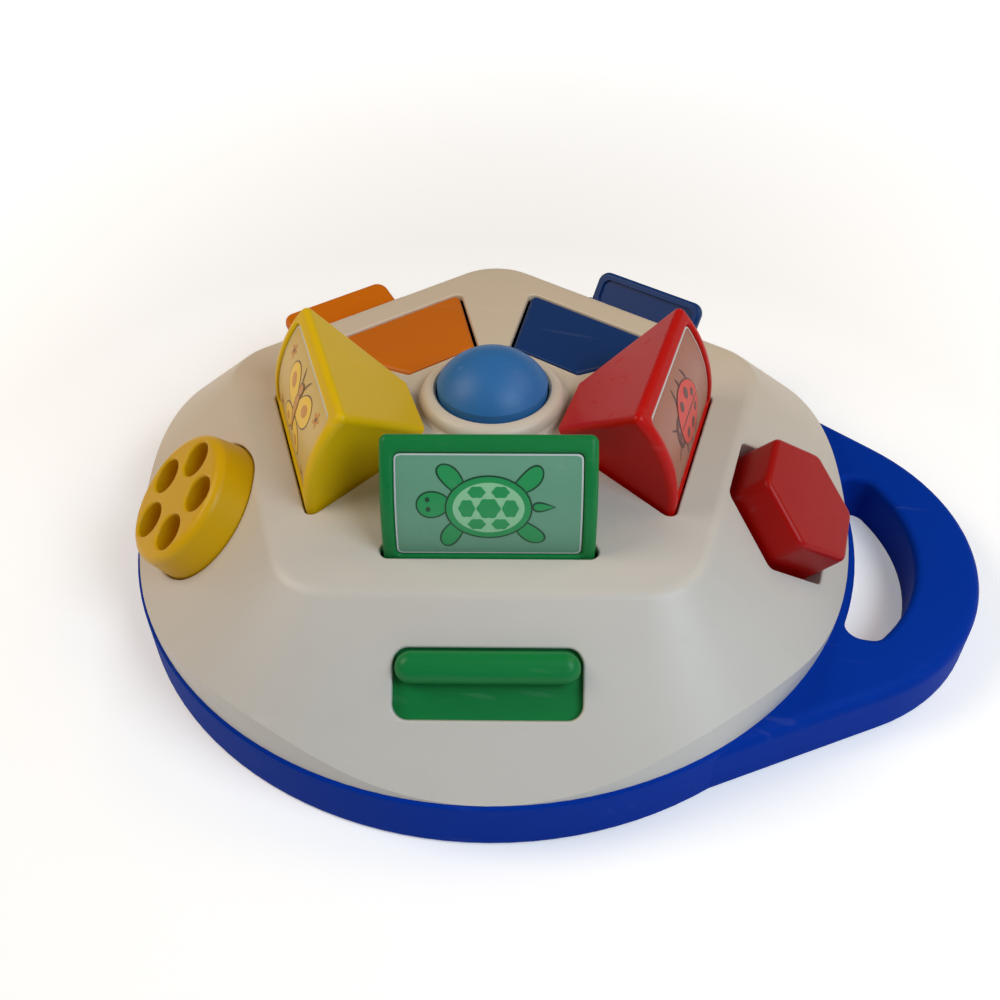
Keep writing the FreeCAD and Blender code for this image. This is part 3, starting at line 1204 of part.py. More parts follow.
# Levers
def build_lever(tag, name, dished, tail_turn):
    """Paddle on a hollow drum with a release tail, in the frame of its axis."""
    paddle_plan = rounded_loop(rectangle(-lever_half, lever_half, -lever_corner, lever_reach), lever_corner)
    paddle = rib(tag + "_paddle", paddle_plan, -lever_thick / 2, lever_thick / 2)
    soft = round_edges(tag + "_soft", paddle, lever_thick * 0.36,
                       lambda e: abs(abs(e.BoundBox.YMin) - lever_thick / 2) < 0.05
                       and e.BoundBox.YLength < 0.05)
    drum = cylinder(tag + "_drum", drum_radius, 2 * drum_half, shift(FreeCAD.Placement(), -drum_half, 0, 0, (1, 0, 0)))
    room = cylinder(tag + "_room", drum_radius - 2.4, 2 * drum_half - 5.0,
                    shift(FreeCAD.Placement(), 2.5 - drum_half, 0, 0, (1, 0, 0)))
    swing = FreeCAD.Placement(FreeCAD.Vector(), FreeCAD.Rotation(FreeCAD.Vector(1, 0, 0), tail_turn))
    tail = box(tag + "_tail", tail_left, tail_right, -3.0, 3.0, lever_axis - tail_depth - 1.0,
               1.0 - drum_radius, swing)
    whole = join(tag + "_whole", [cut(tag + "_tube", join(tag + "_solid", [soft, drum]), room), tail])
    tools = [cylinder(tag + "_bore", lever_pin + pin_fit, 2 * drum_half + 2.0,
                      shift(FreeCAD.Placement(), -drum_half - 1.0, 0, 0, (1, 0, 0)))]
    if dished:
        dish = rounded_loop(rectangle(-lever_half + dish_rim, lever_half - dish_rim,
                                      drum_radius * 0.9, lever_reach - dish_rim), lever_corner - dish_rim * 0.5)
        tools.append(rib(tag + "_dish", dish, lever_thick / 2 - dish_depth, lever_thick / 2 + 2.0))
    done = cut(tag, whole, join(tag + "_tools", tools))
    lean = FreeCAD.Placement(FreeCAD.Vector(0, 0, -lever_axis),
                             FreeCAD.Rotation(FreeCAD.Vector(1, 0, 0), -lever_angle_now[name]))
    done.Placement = facet_frame(sector_angle[name]).multiply(lean)
    node(tag, done)


build_lever("lever_blue", "blue", True, 0.0)
build_lever("lever_orange", "orange", False, lever_up + lever_down)
lever_pins = []
for name in ("blue", "orange"):
    length = 2 * (cheek_near + cheek_wall)
    lever_pins.append(cylinder("lever_pin_" + name, lever_pin, length,
                               shift(facet_frame(sector_angle[name]), -length / 2, 0, -lever_axis, (1, 0, 0))))
lever_pin_group = doc.addObject("Part::Compound", "lever_pins")
lever_pin_group.Links = lever_pins
node("lever_pins", lever_pin_group)

# Centre button with its guide sleeve, and the spring under it
dome_r = button_bore - button_gap
dome_base = collar_top + button_side
dome_cap = button_rise - button_side
cap_radius = (dome_r ** 2 + dome_cap ** 2) / (2 * dome_cap)
cap_centre = collar_top + button_rise - cap_radius
half_turn = math.asin(dome_r / cap_radius) / 2
inside_r = dome_r - button_wall
inside_cap = cap_radius - button_wall
inside_turn = math.asin(inside_r / inside_cap) / 2
inside_base = cap_centre + inside_cap * math.cos(2 * inside_turn)
flange_high = collar_bottom - slide_gap
flange_low = flange_high - 2.0
sleeve_bore = post_radius + slide_gap
sleeve_end = pillar_height + button_travel + 1.0
button_profile = [
    ((0.0, collar_top + button_rise),
     (cap_radius * math.sin(half_turn), cap_centre + cap_radius * math.cos(half_turn)), (dome_r, dome_base)),
    ((dome_r, dome_base), (dome_r, flange_high)),
    ((dome_r, flange_high), (button_bore + button_flange, flange_high)),
    ((button_bore + button_flange, flange_high), (button_bore + button_flange, flange_low)),
    ((button_bore + button_flange, flange_low), (button_sleeve, flange_low)),
    ((button_sleeve, flange_low), (button_sleeve, sleeve_end)),
    ((button_sleeve, sleeve_end), (sleeve_bore, sleeve_end)),
    ((sleeve_bore, sleeve_end), (sleeve_bore, flange_high + 1.0)),
    ((sleeve_bore, flange_high + 1.0), (inside_r, flange_high + 1.0)),
    ((inside_r, flange_high + 1.0), (inside_r, inside_base)),
    ((inside_r, inside_base),
     (inside_cap * math.sin(inside_turn), cap_centre + inside_cap * math.cos(inside_turn)),
     (0.0, cap_centre + inside_cap)),
    ((0.0, cap_centre + inside_cap), (0.0, collar_top + button_rise)),
]
node("centre_button", lathe("centre_button", button_profile))
button_coil = button_sleeve + slide_gap * 3 + spring_wire / 2
button_room = flange_low - pillar_height - spring_wire
node("button_spring", coil_tube("button_spring", button_coil, spring_wire, button_room / 7.0, button_room,
                                frame(0.0, 0.0, pillar_height + spring_wire / 2)))

doc.recompute()
faults = []
for item in doc.Objects:
    if "Invalid" in item.State or "Error" in item.State:
        faults.append(item.Name + " " + str(item.State))
for item in nodes:
    if item.Shape.isNull() or not item.Shape.isValid() or not item.Shape.Solids:
        faults.append(item.Label + " has no valid shape")
if faults:
    raise RuntimeError("; ".join(faults))
os.makedirs("parts", exist_ok=True)
for item in nodes:
    item.Shape.exportStep("parts/" + item.Label + ".step")
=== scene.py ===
import json
import math

import bmesh
import bpy
from bpy.props import FloatProperty, FloatVectorProperty, PointerProperty
from mathutils import Matrix, Vector


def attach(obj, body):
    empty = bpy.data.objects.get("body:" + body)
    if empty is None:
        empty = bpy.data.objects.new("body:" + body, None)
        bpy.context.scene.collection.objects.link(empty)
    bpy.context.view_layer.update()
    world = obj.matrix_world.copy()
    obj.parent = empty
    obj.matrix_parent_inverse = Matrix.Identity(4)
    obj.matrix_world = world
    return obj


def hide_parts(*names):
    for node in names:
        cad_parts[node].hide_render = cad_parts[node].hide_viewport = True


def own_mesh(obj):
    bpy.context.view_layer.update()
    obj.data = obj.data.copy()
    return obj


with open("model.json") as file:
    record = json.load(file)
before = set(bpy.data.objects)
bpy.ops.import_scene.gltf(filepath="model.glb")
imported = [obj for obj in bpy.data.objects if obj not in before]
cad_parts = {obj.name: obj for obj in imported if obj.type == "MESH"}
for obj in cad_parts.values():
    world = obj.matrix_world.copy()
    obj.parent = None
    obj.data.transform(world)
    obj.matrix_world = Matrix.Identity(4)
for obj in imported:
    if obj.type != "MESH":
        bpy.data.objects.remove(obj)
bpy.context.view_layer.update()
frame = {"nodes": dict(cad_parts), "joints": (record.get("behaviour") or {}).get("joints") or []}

bl_info = {
    "name": "Pop-up flap toy",
    "version": (1, 0, 0),
    "blender": (4, 5, 0),
    "location": "3D View > Sidebar > Toy",
    "description": "Finishes, pictures and stage of a pop-up toy with five flaps",
    "category": "Object",
}

MM = 0.001
# the photograph's view, fitted: degrees, then metres, then shares of the width
AZIMUTH, ELEVATION, ROLL = 12.53, 41.87, -0.55
DISTANCE, AIM_HEIGHT = 0.4264, 0.0301
SHIFT_X, SHIFT_Y = 0.0067, -0.0172
SECTORS = ("green", "red", "blue", "orange", "yellow")


def linear(text, alpha=True):
    """sRGB hex colour as linear numbers."""
    parts = [int(text[i:i + 2], 16) / 255 for i in (1, 3, 5)]
    out = [p / 12.92 if p <= 0.04045 else ((p + 0.055) / 1.055) ** 2.4 for p in parts]
    return tuple(out + [1.0]) if alpha else tuple(out)


def colour(name, text, description):
    return FloatVectorProperty(name=name, description=description, subtype="COLOR", size=4,
                               min=0.0, max=1.0, default=linear(text))


def length(name, mm, description):
    return FloatProperty(name=name, description=description, default=mm * MM, min=0.0,
                         unit="LENGTH", subtype="DISTANCE")


class ToyColours(bpy.types.PropertyGroup):
    cover: colour("Cover", "#c7c3bc", "Moulded cover")
    # painted warm light: the tint the cover is given towards its back, top and left
    cover_warm_light: colour("Cover in painted warm light", "#d0bea5", "Painted warm light on the back, top and left of the cover")
    base: colour("Base", "#01329a", "Moulded base and handle")
    button: colour("Button", "#2c6aa6", "Centre button")
    green: colour("Green", "#0f783a", "Green flap and slider")
    red: colour("Red", "#bb0801", "Red flap")
    blue: colour("Blue", "#083168", "Blue flap and lever")
    orange: colour("Orange", "#c96801", "Orange flap and lever")
    yellow: colour("Yellow", "#deb502", "Yellow flap")
    knob: colour("Knob", "#a10501", "Red push knob")
    dial: colour("Dial", "#d3a201", "Yellow dial")
    inner: colour("Inner parts", "#bdb9b1", "Latches, brackets and cam")
    steel: colour("Steel", "#b9bcc0", "Screws, pins and springs")
    green_ground: colour("Green picture", "#659a7e", "Ground of the green picture")
    red_ground: colour("Red picture", "#a0654f", "Ground of the red picture")
    blue_ground: colour("Blue picture", "#9bb1cb", "Ground of the blue picture")
    orange_ground: colour("Orange picture", "#d6b88d", "Ground of the orange picture")
    yellow_ground: colour("Yellow picture", "#d2b15d", "Ground of the yellow picture")
    film: colour("Film edge", "#c9ceca", "Bare film round each picture")


class ToySizes(bpy.types.PropertyGroup):
    ink_step: length("Ink step", 0.05, "Height of one printed layer over the next")
    line: length("Line", 0.55, "Width of the dark line round a motif")
    grain: length("Mould grain", 1.1, "Size of the grain that the mould leaves")
    floor: length("Floor", 4000.0, "Width of the floor")
    button_travel: length("Button travel", 5.0, "How far the centre button shortens its spring")
    knob_travel: length("Knob travel", 6.0, "How far the knob shortens its spring")


def colours():
    return bpy.context.scene.toy_colours


def sizes():
    return bpy.context.scene.toy_sizes


# Materials
def add(tree, kind, settings=None, links=None):
    """Add a node, set its inputs or properties, and link its inputs."""
    item = tree.nodes.new(kind)
    for key, value in (settings or {}).items():
        if isinstance(key, str) and hasattr(item, key) and key not in item.inputs:
            setattr(item, key, value)
        else:
            item.inputs[key].default_value = value
    for key, source in (links or {}).items():
        tree.links.new(source, item.inputs[key])
    return item


def started(name):
    """A new material with its shader and object coordinates."""
    material = bpy.data.materials.new(name)
    material.use_nodes = True
    tree = material.node_tree
    tree.nodes.clear()
    output = add(tree, "ShaderNodeOutputMaterial")
    shader = add(tree, "ShaderNodeBsdfPrincipled")
    tree.links.new(shader.outputs[0], output.inputs[0])
    where = add(tree, "ShaderNodeTexCoord")
    return material, tree, shader, where.outputs["Object"]


def dimmed(value, factor):
    return (value[0] * factor, value[1] * factor, value[2] * factor, 1.0)


def moulded(name, base, rough=0.36, tone=0.05, scratch=0.06, grime=0.0, warm_light=None, gloss=0.2):
    """Injection moulded ABS: even colour, a fine mould grain, faint scratches that dull the gloss; where a warm tint
    colour is given, painted warm light towards the back, top and left.
    """
    material, tree, shader, place = started(name)
    cloud = add(tree, "ShaderNodeTexNoise", {"Scale": 14.0, "Detail": 3.0, "Roughness": 0.6}, {"Vector": place})
    lift = add(tree, "ShaderNodeMapRange", {"From Min": 0.3, "From Max": 0.7, "To Min": 0.0, "To Max": 1.0},
               {"Value": cloud.outputs["Fac"]})
    mixed = add(tree, "ShaderNodeMix", {"data_type": "RGBA"}, {"Factor": lift.outputs[0]})
    mixed.inputs["A"].default_value = dimmed(base, 1.0 - tone)
    mixed.inputs["B"].default_value = dimmed(base, 1.0 + tone * 0.6)
    last = mixed.outputs["Result"]
    if warm_light:
        # painted warm light: the colour is tinted towards the back, the top and the left, standing in for warm lamp
        # light there
        toward = add(tree, "ShaderNodeVectorMath", {"operation": "DOT_PRODUCT", 1: (-0.35, 0.85, 0.4)}, {0: place})
        share = add(tree, "ShaderNodeMapRange",
                    {"interpolation_type": "SMOOTHSTEP", "From Min": -0.09, "From Max": 0.09},
                    {"Value": toward.outputs["Value"]})
        warm_lit = add(tree, "ShaderNodeMix", {"data_type": "RGBA"}, {"Factor": share.outputs[0], "A": last})
        warm_lit.inputs["B"].default_value = tuple(warm_light)
        last = warm_lit.outputs["Result"]
    # handling scratches, about 0.15 mm wide and 20 mm long, in two directions
    marks = []
    for turn, width in ((0.5, 260.0), (2.2, 330.0)):
        laid = add(tree, "ShaderNodeMapping", {"Rotation": (0.3, 0.2, turn), "Scale": (14.0, width, width)},
                   {"Vector": place})
        lines = add(tree, "ShaderNodeTexNoise", {"Scale": 1.0, "Detail": 1.0}, {"Vector": laid.outputs[0]})
        marks.append(add(tree, "ShaderNodeMapRange", {"From Min": 0.70, "From Max": 0.78},
                         {"Value": lines.outputs["Fac"]}))
    both = add(tree, "ShaderNodeMath", {"operation": "MAXIMUM"},
               {0: marks[0].outputs[0], 1: marks[1].outputs[0]})
    if grime:
        # handling dirt that gathers in soft patches
        patch = add(tree, "ShaderNodeTexNoise", {"Scale": 34.0, "Detail": 6.0, "Roughness": 0.7},
                    {"Vector": place})
        thick = add(tree, "ShaderNodeMapRange", {"From Min": 0.56, "From Max": 0.76, "To Max": grime},
                    {"Value": patch.outputs["Fac"]})
        dirty = add(tree, "ShaderNodeMix", {"data_type": "RGBA"}, {"Factor": thick.outputs[0], "A": last})
        dirty.inputs["B"].default_value = dimmed(base, 0.6)
        last = dirty.outputs["Result"]
    pale = add(tree, "ShaderNodeMath", {"operation": "MULTIPLY", 1: scratch}, {0: both.outputs[0]})
    worn = add(tree, "ShaderNodeMix", {"data_type": "RGBA"}, {"Factor": pale.outputs[0], "A": last})
    worn.inputs["B"].default_value = tuple(min(1.0, c * 0.7 + 0.25) for c in base[:3]) + (1.0,)
    tree.links.new(worn.outputs["Result"], shader.inputs["Base Color"])
    shine = add(tree, "ShaderNodeMapRange", {"To Min": rough, "To Max": rough + 0.22}, {"Value": both.outputs[0]})
    spread = add(tree, "ShaderNodeMath", {"operation": "MULTIPLY_ADD", 1: 0.10},
                 {0: cloud.outputs["Fac"], 2: shine.outputs[0]})
    tree.links.new(spread.outputs[0], shader.inputs["Roughness"])
    grain = add(tree, "ShaderNodeTexNoise", {"Scale": 1.0 / sizes().grain, "Detail": 2.0}, {"Vector": place})
    bump = add(tree, "ShaderNodeBump", {"Strength": 0.10, "Distance": 0.00012}, {"Height": grain.outputs["Fac"]})
    cuts = add(tree, "ShaderNodeBump", {"Strength": 0.15, "Distance": 0.00005, "invert": True},
               {"Height": both.outputs[0], "Normal": bump.outputs[0]})
    tree.links.new(cuts.outputs[0], shader.inputs["Normal"])
    shader.inputs["IOR"].default_value = 1.5
    shader.inputs["Specular IOR Level"].default_value = gloss
    return material


def printed(name, base, rough=0.3):
    """Printed vinyl film: flat ink, slightly glossy, with faint rubbing."""
    material, tree, shader, place = started(name)
    rub = add(tree, "ShaderNodeTexNoise", {"Scale": 120.0, "Detail": 5.0, "Roughness": 0.7}, {"Vector": place})
    worn = add(tree, "ShaderNodeMapRange", {"From Min": 0.62, "From Max": 0.8, "To Max": 0.35},
               {"Value": rub.outputs["Fac"]})
    mixed = add(tree, "ShaderNodeMix", {"data_type": "RGBA"}, {"Factor": worn.outputs[0]})
    mixed.inputs["A"].default_value = tuple(base)
    mixed.inputs["B"].default_value = tuple(c * 0.75 + 0.2 for c in base[:3]) + (1.0,)
    tree.links.new(mixed.outputs["Result"], shader.inputs["Base Color"])
    shine = add(tree, "ShaderNodeMapRange", {"To Min": rough, "To Max": rough + 0.25}, {"Value": rub.outputs["Fac"]})
    tree.links.new(shine.outputs[0], shader.inputs["Roughness"])
    shader.inputs["IOR"].default_value = 1.48
    return material


def drawn_steel(name, base):
    """Drawn or turned steel: fine lines, medium gloss."""
    material, tree, shader, place = started(name)
    laid = add(tree, "ShaderNodeMapping", {"Scale": (300.0, 300.0, 4000.0)}, {"Vector": place})
    lines = add(tree, "ShaderNodeTexNoise", {"Scale": 1.0, "Detail": 2.0}, {"Vector": laid.outputs[0]})
    shine = add(tree, "ShaderNodeMapRange", {"To Min": 0.25, "To Max": 0.45}, {"Value": lines.outputs["Fac"]})
    tree.links.new(shine.outputs[0], shader.inputs["Roughness"])
    tone = add(tree, "ShaderNodeMix", {"data_type": "RGBA"}, {"Factor": lines.outputs["Fac"]})
    tone.inputs["A"].default_value = dimmed(base, 0.9)
    tone.inputs["B"].default_value = tuple(base)
    tree.links.new(tone.outputs["Result"], shader.inputs["Base Color"])
    shader.inputs["Metallic"].default_value = 1.0
    return material


def finish(material, *names):
    """Give CAD nodes a material."""
    for name in names:
        item = frame["nodes"][name]
        if not item.material_slots:
            item.data.materials.append(material)
        for place in item.material_slots:
            place.material = material


# Pictures on the flaps
def joint_named(name):
    for joint in frame["joints"]:
        if joint["name"] == name:
            return joint
    raise RuntimeError("no joint named " + name)


class Panel:
    """The curved picture panel of one flap: s to the right, t up, h outwards, all in mm."""

    def __init__(self, name):
        joint = joint_named("flap_hinge_" + name)
        self.pivot = Vector(joint["pos_m"])
        self.right = -Vector(joint["axis"]).normalized()
        self.out = self.right.cross(Vector((0.0, 0.0, 1.0))).normalized()
        film = frame["nodes"]["sticker_" + name]
        self.reach = 0.0
        angles = []
        half = 0.0
        for vertex in film.data.vertices:
            way = vertex.co - self.pivot
            x, z = way.dot(self.out), way.z
            self.reach = max(self.reach, math.hypot(x, z))
            angles.append(math.atan2(-z, x))
            half = max(half, abs(way.dot(self.right)))
        self.middle = (min(angles) + max(angles)) / 2
        self.half_height = (max(angles) - min(angles)) / 2 * self.reach / MM
        self.half_width = half / MM

    def place(self, s, t, h):
        angle = self.middle - t * MM / self.reach
        radius = self.reach + h * MM
        return (self.pivot + self.right * (s * MM) + self.out * (radius * math.cos(angle))
                - Vector((0.0, 0.0, 1.0)) * (radius * math.sin(angle)))


def disc(point):
    """Move a point of a square of half width 1 into the unit circle."""
    x, y = point
    return x * math.sqrt(1 - y * y / 2), y * math.sqrt(1 - x * x / 2)


def blob(bm, at, size, turn=0.0, layer=0, paint=0, lobes=0, wave=0.0, taper=0.0, bend=0.0, square=None, cells=12):
    """One printed shape: an ellipse that may be lobed, tapered, bent, or kept square with round corners."""
    made = bmesh.ops.create_grid(bm, x_segments=cells, y_segments=cells, size=1.0)
    turned = Matrix.Rotation(math.radians(turn), 2)
    for vertex in made["verts"]:
        x, y = vertex.co.x, vertex.co.y
        if square is None:
            x, y = disc((x, y))
            if lobes:
                swell = 1.0 + wave * math.cos(lobes * math.atan2(y, x)) * math.hypot(x, y)
                x, y = x * swell, y * swell
            y *= 1.0 + taper * x
            y += bend * x * x
            x, y = x * size[0], y * size[1]
        else:
            x, y = x * size[0], y * size[1]
            cx, cy = abs(x) - (size[0] - square), abs(y) - (size[1] - square)
            if cx > 0 and cy > 0:
                pull = max(cx, cy) / math.hypot(cx, cy)
                x = math.copysign(size[0] - square + cx * pull, x)
                y = math.copysign(size[1] - square + cy * pull, y)
        spot = turned @ Vector((x, y))
        vertex.co = Vector((spot.x + at[0], spot.y + at[1], layer * sizes().ink_step / MM + 0.02))
    for face in {f for v in made["verts"] for f in v.link_faces}:
        face.material_index = paint


def outlined(bm, at, size, turn=0.0, layer=0, paint=1, line=None, **rest):
    """A shape with a dark line round it."""
    edge = (sizes().line / MM) if line is None else line
    blob(bm, at, (size[0] + edge, size[1] + edge), turn, layer, 2, **rest)
    blob(bm, at, size, turn, layer + 1, paint, **rest)


def draw_turtle(bm):
    for at, turn in (((-11, 9), 128), ((-11, -8), -125), ((12, 8.5), 40), ((12, -8), -42)):
        outlined(bm, at, (6.4, 2.5), turn, 1, 1, taper=0.35, bend=0.25)
    outlined(bm, (17.5, 0.5), (3.2, 1.0), 0, 1, 1, taper=-0.7)
    outlined(bm, (-17.6, 1.2), (5.0, 4.1), 8, 1, 1, taper=-0.12)
    blob(bm, (-19.4, 2.9), (0.75, 0.85), 0, 3, 2)
    blob(bm, (-19.2, -0.4), (0.75, 0.85), 0, 3, 2)
    outlined(bm, (0, 0), (13.4, 10.4), 0, 3, 1)
    blob(bm, (0, 0), (11.4, 8.6), 0, 5, 3)
    for at, size in (((0, 0), (3.6, 3.4)), ((-6.9, 0), (2.5, 3.0)), ((6.9, 0), (2.5, 3.0)),
                     ((-3.8, 5.5), (2.7, 1.9)), ((3.8, 5.5), (2.7, 1.9)), ((-3.8, -5.5), (2.7, 1.9)),
                     ((3.8, -5.5), (2.7, 1.9))):
        blob(bm, at, size, 0, 6, 1, lobes=6, wave=0.07)


def draw_butterfly(bm):
    for side in (-1, 1):
        outlined(bm, (side * 8.2, 5.0), (8.6, 5.4), 90 - side * 58, 1, 1, taper=0.25)
        outlined(bm, (side * 6.4, -6.4), (6.4, 4.2), 90 - side * 125, 1, 1, taper=0.2)
        blob(bm, (side * 9.8, 6.2), (3.1, 2.3), 90 - side * 58, 3, 3)
        blob(bm, (side * 7.4, -7.6), (2.2, 1.6), 90 - side * 125, 3, 3)
        blob(bm, (side * 2.6, 11.6), (4.0, 0.35), 90 - side * 24, 3, 2, bend=side * -1.6)
    outlined(bm, (0, 0), (8.2, 1.7), 90, 4, 3, taper=0.3)
    outlined(bm, (0, 8.6), (1.9, 1.9), 0, 5, 3)
    for at in ((-21, -11), (20, -12), (21.5, 11.5), (-21.5, 11)):
        blob(bm, at, (2.3, 2.3), 18, 1, 3, lobes=5, wave=0.32)
        blob(bm, at, (0.8, 0.8), 0, 2, 2)


def draw_ladybird(bm):
    for x in (-7.5, 0, 7.5):
        for side in (-1, 1):
            blob(bm, (x, side * 10.6), (3.6, 0.6), 90 * side + x * 2.2 * side, 1, 2, bend=0.8)
    for side in (-1, 1):
        blob(bm, (-17.4, side * 4.2), (3.4, 0.42), 180 - side * 38, 1, 2, bend=0.9)
    outlined(bm, (-12.2, 0), (4.8, 5.4), 0, 1, 3)
    outlined(bm, (0, 0), (12.4, 10.6), 0, 3, 1)
    blob(bm, (0.4, 0), (12.0, 0.4), 0, 5, 2)
    for at, r in (((-5.2, 5.4), 1.9), ((-5.2, -5.4), 1.9), ((2.2, 6.3), 2.1), ((2.2, -6.3), 2.1),
                  ((7.6, 3.0), 1.6), ((7.6, -3.0), 1.6)):
        blob(bm, at, (r, r), 0, 5, 3)
    blob(bm, (-14.4, 2.2), (0.8, 0.9), 0, 4, 0)
    blob(bm, (-14.4, -2.2), (0.8, 0.9), 0, 4, 0)


def draw_fish(bm):
    outlined(bm, (16.2, 4.6), (5.6, 2.6), 40, 1, 1, taper=0.4)
    outlined(bm, (16.2, -4.6), (5.6, 2.6), -40, 1, 1, taper=0.4)
    outlined(bm, (1.0, 9.2), (6.0, 2.5), 8, 1, 3, taper=0.3)
    outlined(bm, (1.5, -9.0), (4.2, 1.9), -14, 1, 3, taper=0.3)
    outlined(bm, (-1.5, 0), (14.4, 8.6), 0, 3, 1, taper=-0.28)
    for x, h in ((-2.0, 7.4), (3.2, 6.0), (8.0, 4.2)):
        blob(bm, (x, 0), (h, 0.9), 90, 5, 3, bend=-1.6)
    blob(bm, (-10.0, 2.0), (1.9, 1.9), 0, 5, 0)
    blob(bm, (-10.3, 2.0), (0.95, 0.95), 0, 6, 2)
    for at, r in (((-19.5, 6), 1.3), ((-21.8, 10), 0.9), ((-17.8, 12), 0.7)):
        outlined(bm, at, (r, r), 0, 1, 0, line=0.35)


def draw_starfish(bm):
    outlined(bm, (0, -0.5), (10.6, 10.6), 90, 1, 1, lobes=5, wave=0.36, cells=20)
    for i in range(5):
        turn = 90 + 72 * i
        for reach, r in ((4.0, 1.0), (7.0, 0.85), (9.8, 0.65)):
            at = (reach * math.cos(math.radians(turn)), reach * math.sin(math.radians(turn)) - 0.5)
            blob(bm, at, (r, r), 0, 3, 3)
    blob(bm, (0, -0.5), (1.6, 1.6), 0, 3, 3)
    for at in ((-19.5, -9.5), (19.5, 9.0)):
        outlined(bm, at, (3.4, 2.6), 24, 1, 3, taper=0.35)
        for k in (-1, 0, 1):
            blob(bm, at, (2.2, 0.22), 24 + k * 26, 3, 2)


PICTURES = {
    "green": (draw_turtle, "#1f9150", "#0d3f26", "#8fc79a"),
    "red": (draw_ladybird, "#cf3020", "#4c120c", "#5c1a14"),
    "blue": (draw_fish, "#2f5fae", "#14264c", "#7fa6dc"),
    "orange": (draw_starfish, "#ea8a20", "#7a3a08", "#fbe0b0"),
    "yellow": (draw_butterfly, "#efc21a", "#6d4a08", "#c9860e"),
}


class TOY_OT_pictures(bpy.types.Operator):
    """Print a picture on the film of each flap"""
    bl_idname = "toy.pictures"
    bl_label = "Pictures"

    def execute(self, context):
        film = printed("Vinyl film, white", colours().film, 0.32)
        for name in SECTORS:
            draw, body, dark, accent = PICTURES[name]
            panel = Panel(name)
            ground = getattr(colours(), name + "_ground")
            bm = bmesh.new()
            blob(bm, (0, 0), (panel.half_width - 0.55, panel.half_height - 0.55), 0, 0, 0, square=1.3, cells=36)
            draw(bm)
            for vertex in bm.verts:
                vertex.co = panel.place(*vertex.co)
            mesh = bpy.data.meshes.new("picture_" + name)
            bm.to_mesh(mesh)
            bm.free()
            piece = bpy.data.objects.new("picture_" + name, mesh)
            context.scene.collection.objects.link(piece)
            thick = piece.modifiers.new("ink", "SOLIDIFY")
            thick.thickness = sizes().ink_step * 0.6
            thick.offset = -1.0
            for title, value in (("ground", ground), ("body", linear(body)), ("line", linear(dark)),
                                 ("accent", linear(accent))):
                mesh.materials.append(printed("Printed vinyl, %s %s" % (name, title), value))
            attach(piece, "flap_body_" + name)
            finish(film, "sticker_" + name)
        return {"FINISHED"}


class TOY_OT_shells(bpy.types.Operator):
    """Finish the cover, the base and the closing plate"""
    bl_idname = "toy.shells"
    bl_label = "Shells"

    def execute(self, context):
        # the cover gets a painted warm light tint towards its back, top and left
        finish(moulded("Moulded ABS, off-white", colours().cover, 0.36, 0.02, 0.08, 0.10, colours().cover_warm_light, 0.4),
               "top_cover")
        finish(moulded("Moulded ABS, blue", colours().base, 0.5, 0.05, gloss=0.03),
               "base_tray", "handle_plate")
        return {"FINISHED"}


class TOY_OT_flaps(bpy.types.Operator):
    """Finish the flaps"""
    bl_idname = "toy.flaps"
    bl_label = "Flaps"

    def execute(self, context):
        for name in SECTORS:
            finish(moulded("Moulded ABS, %s" % name, getattr(colours(), name), 0.34), "flap_" + name)
        return {"FINISHED"}


class TOY_OT_actuators(bpy.types.Operator):
    """Finish the slider, dial, knob, levers and centre button"""
    bl_idname = "toy.actuators"
    bl_label = "Actuators"

    def execute(self, context):
        for node, name in (("slider_green", "green"), ("dial_yellow", "dial"), ("knob_red", "knob"),
                           ("lever_blue", "blue"), ("lever_orange", "orange")):
            finish(moulded("Moulded ABS, %s actuator" % name, getattr(colours(), name), 0.32), node)
        finish(moulded("Moulded ABS, light blue", colours().button, 0.4, 0.06, 0.25, gloss=0.3), "centre_button")
        return {"FINISHED"}


class TOY_OT_springs(bpy.types.Operator):
    """Coil springs for the button and the knob, copied from the CAD springs onto the base"""
    bl_idname = "toy.springs"
    bl_label = "Coil springs"

    def execute(self, context):
        steel = drawn_steel("Spring steel, coiled", colours().steel)
        for node, name, travel in (("button_spring", "button_press", sizes().button_travel),
                                   ("knob_spring", "knob_press", sizes().knob_travel)):
            mesh = frame["nodes"][node].data.copy()
            bm = bmesh.new()
            bm.from_mesh(mesh)
            bmesh.ops.remove_doubles(bm, verts=bm.verts, dist=0.01 * MM)
            bm.to_mesh(mesh)
            bm.free()
            mesh.materials.clear()
            mesh.materials.append(steel)
            piece = bpy.data.objects.new("coil_" + name, mesh)
            context.scene.collection.objects.link(piece)
            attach(piece, "base")
            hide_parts(node)
            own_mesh(piece)
        return {"FINISHED"}


class TOY_OT_inside(bpy.types.Operator):
    """Finish the latches, brackets, springs, pins and screws"""
    bl_idname = "toy.inside"
    bl_label = "Inside"

    def execute(self, context):
        acetal = moulded("Moulded acetal, natural", colours().inner, 0.45, 0.03, 0.1, gloss=0.4)
        finish(acetal, "slider_keeper", "dial_bracket", "knob_bracket", "dial_cam")
        steel = drawn_steel("Spring steel, drawn", colours().steel)
        finish(steel, "case_screws", "bracket_screws", "dial_screw", "flap_hinge_pins", "lever_pins",
               "button_spring", "knob_spring")
        for name in SECTORS:
            finish(acetal, "latch_" + name)
            finish(steel, "hinge_spring_" + name)
        return {"FINISHED"}


def lamp(context, name, place, target, size, power, tint):
    data = bpy.data.lights.new(name, "AREA")
    data.shape = "DISK"
    data.size = size
    data.energy = power
    data.color = tint
    item = bpy.data.objects.new(name, data)
    item.location = place
    item.rotation_euler = (Vector(target) - Vector(place)).to_track_quat("-Z", "Y").to_euler()
    context.scene.collection.objects.link(item)
    return item


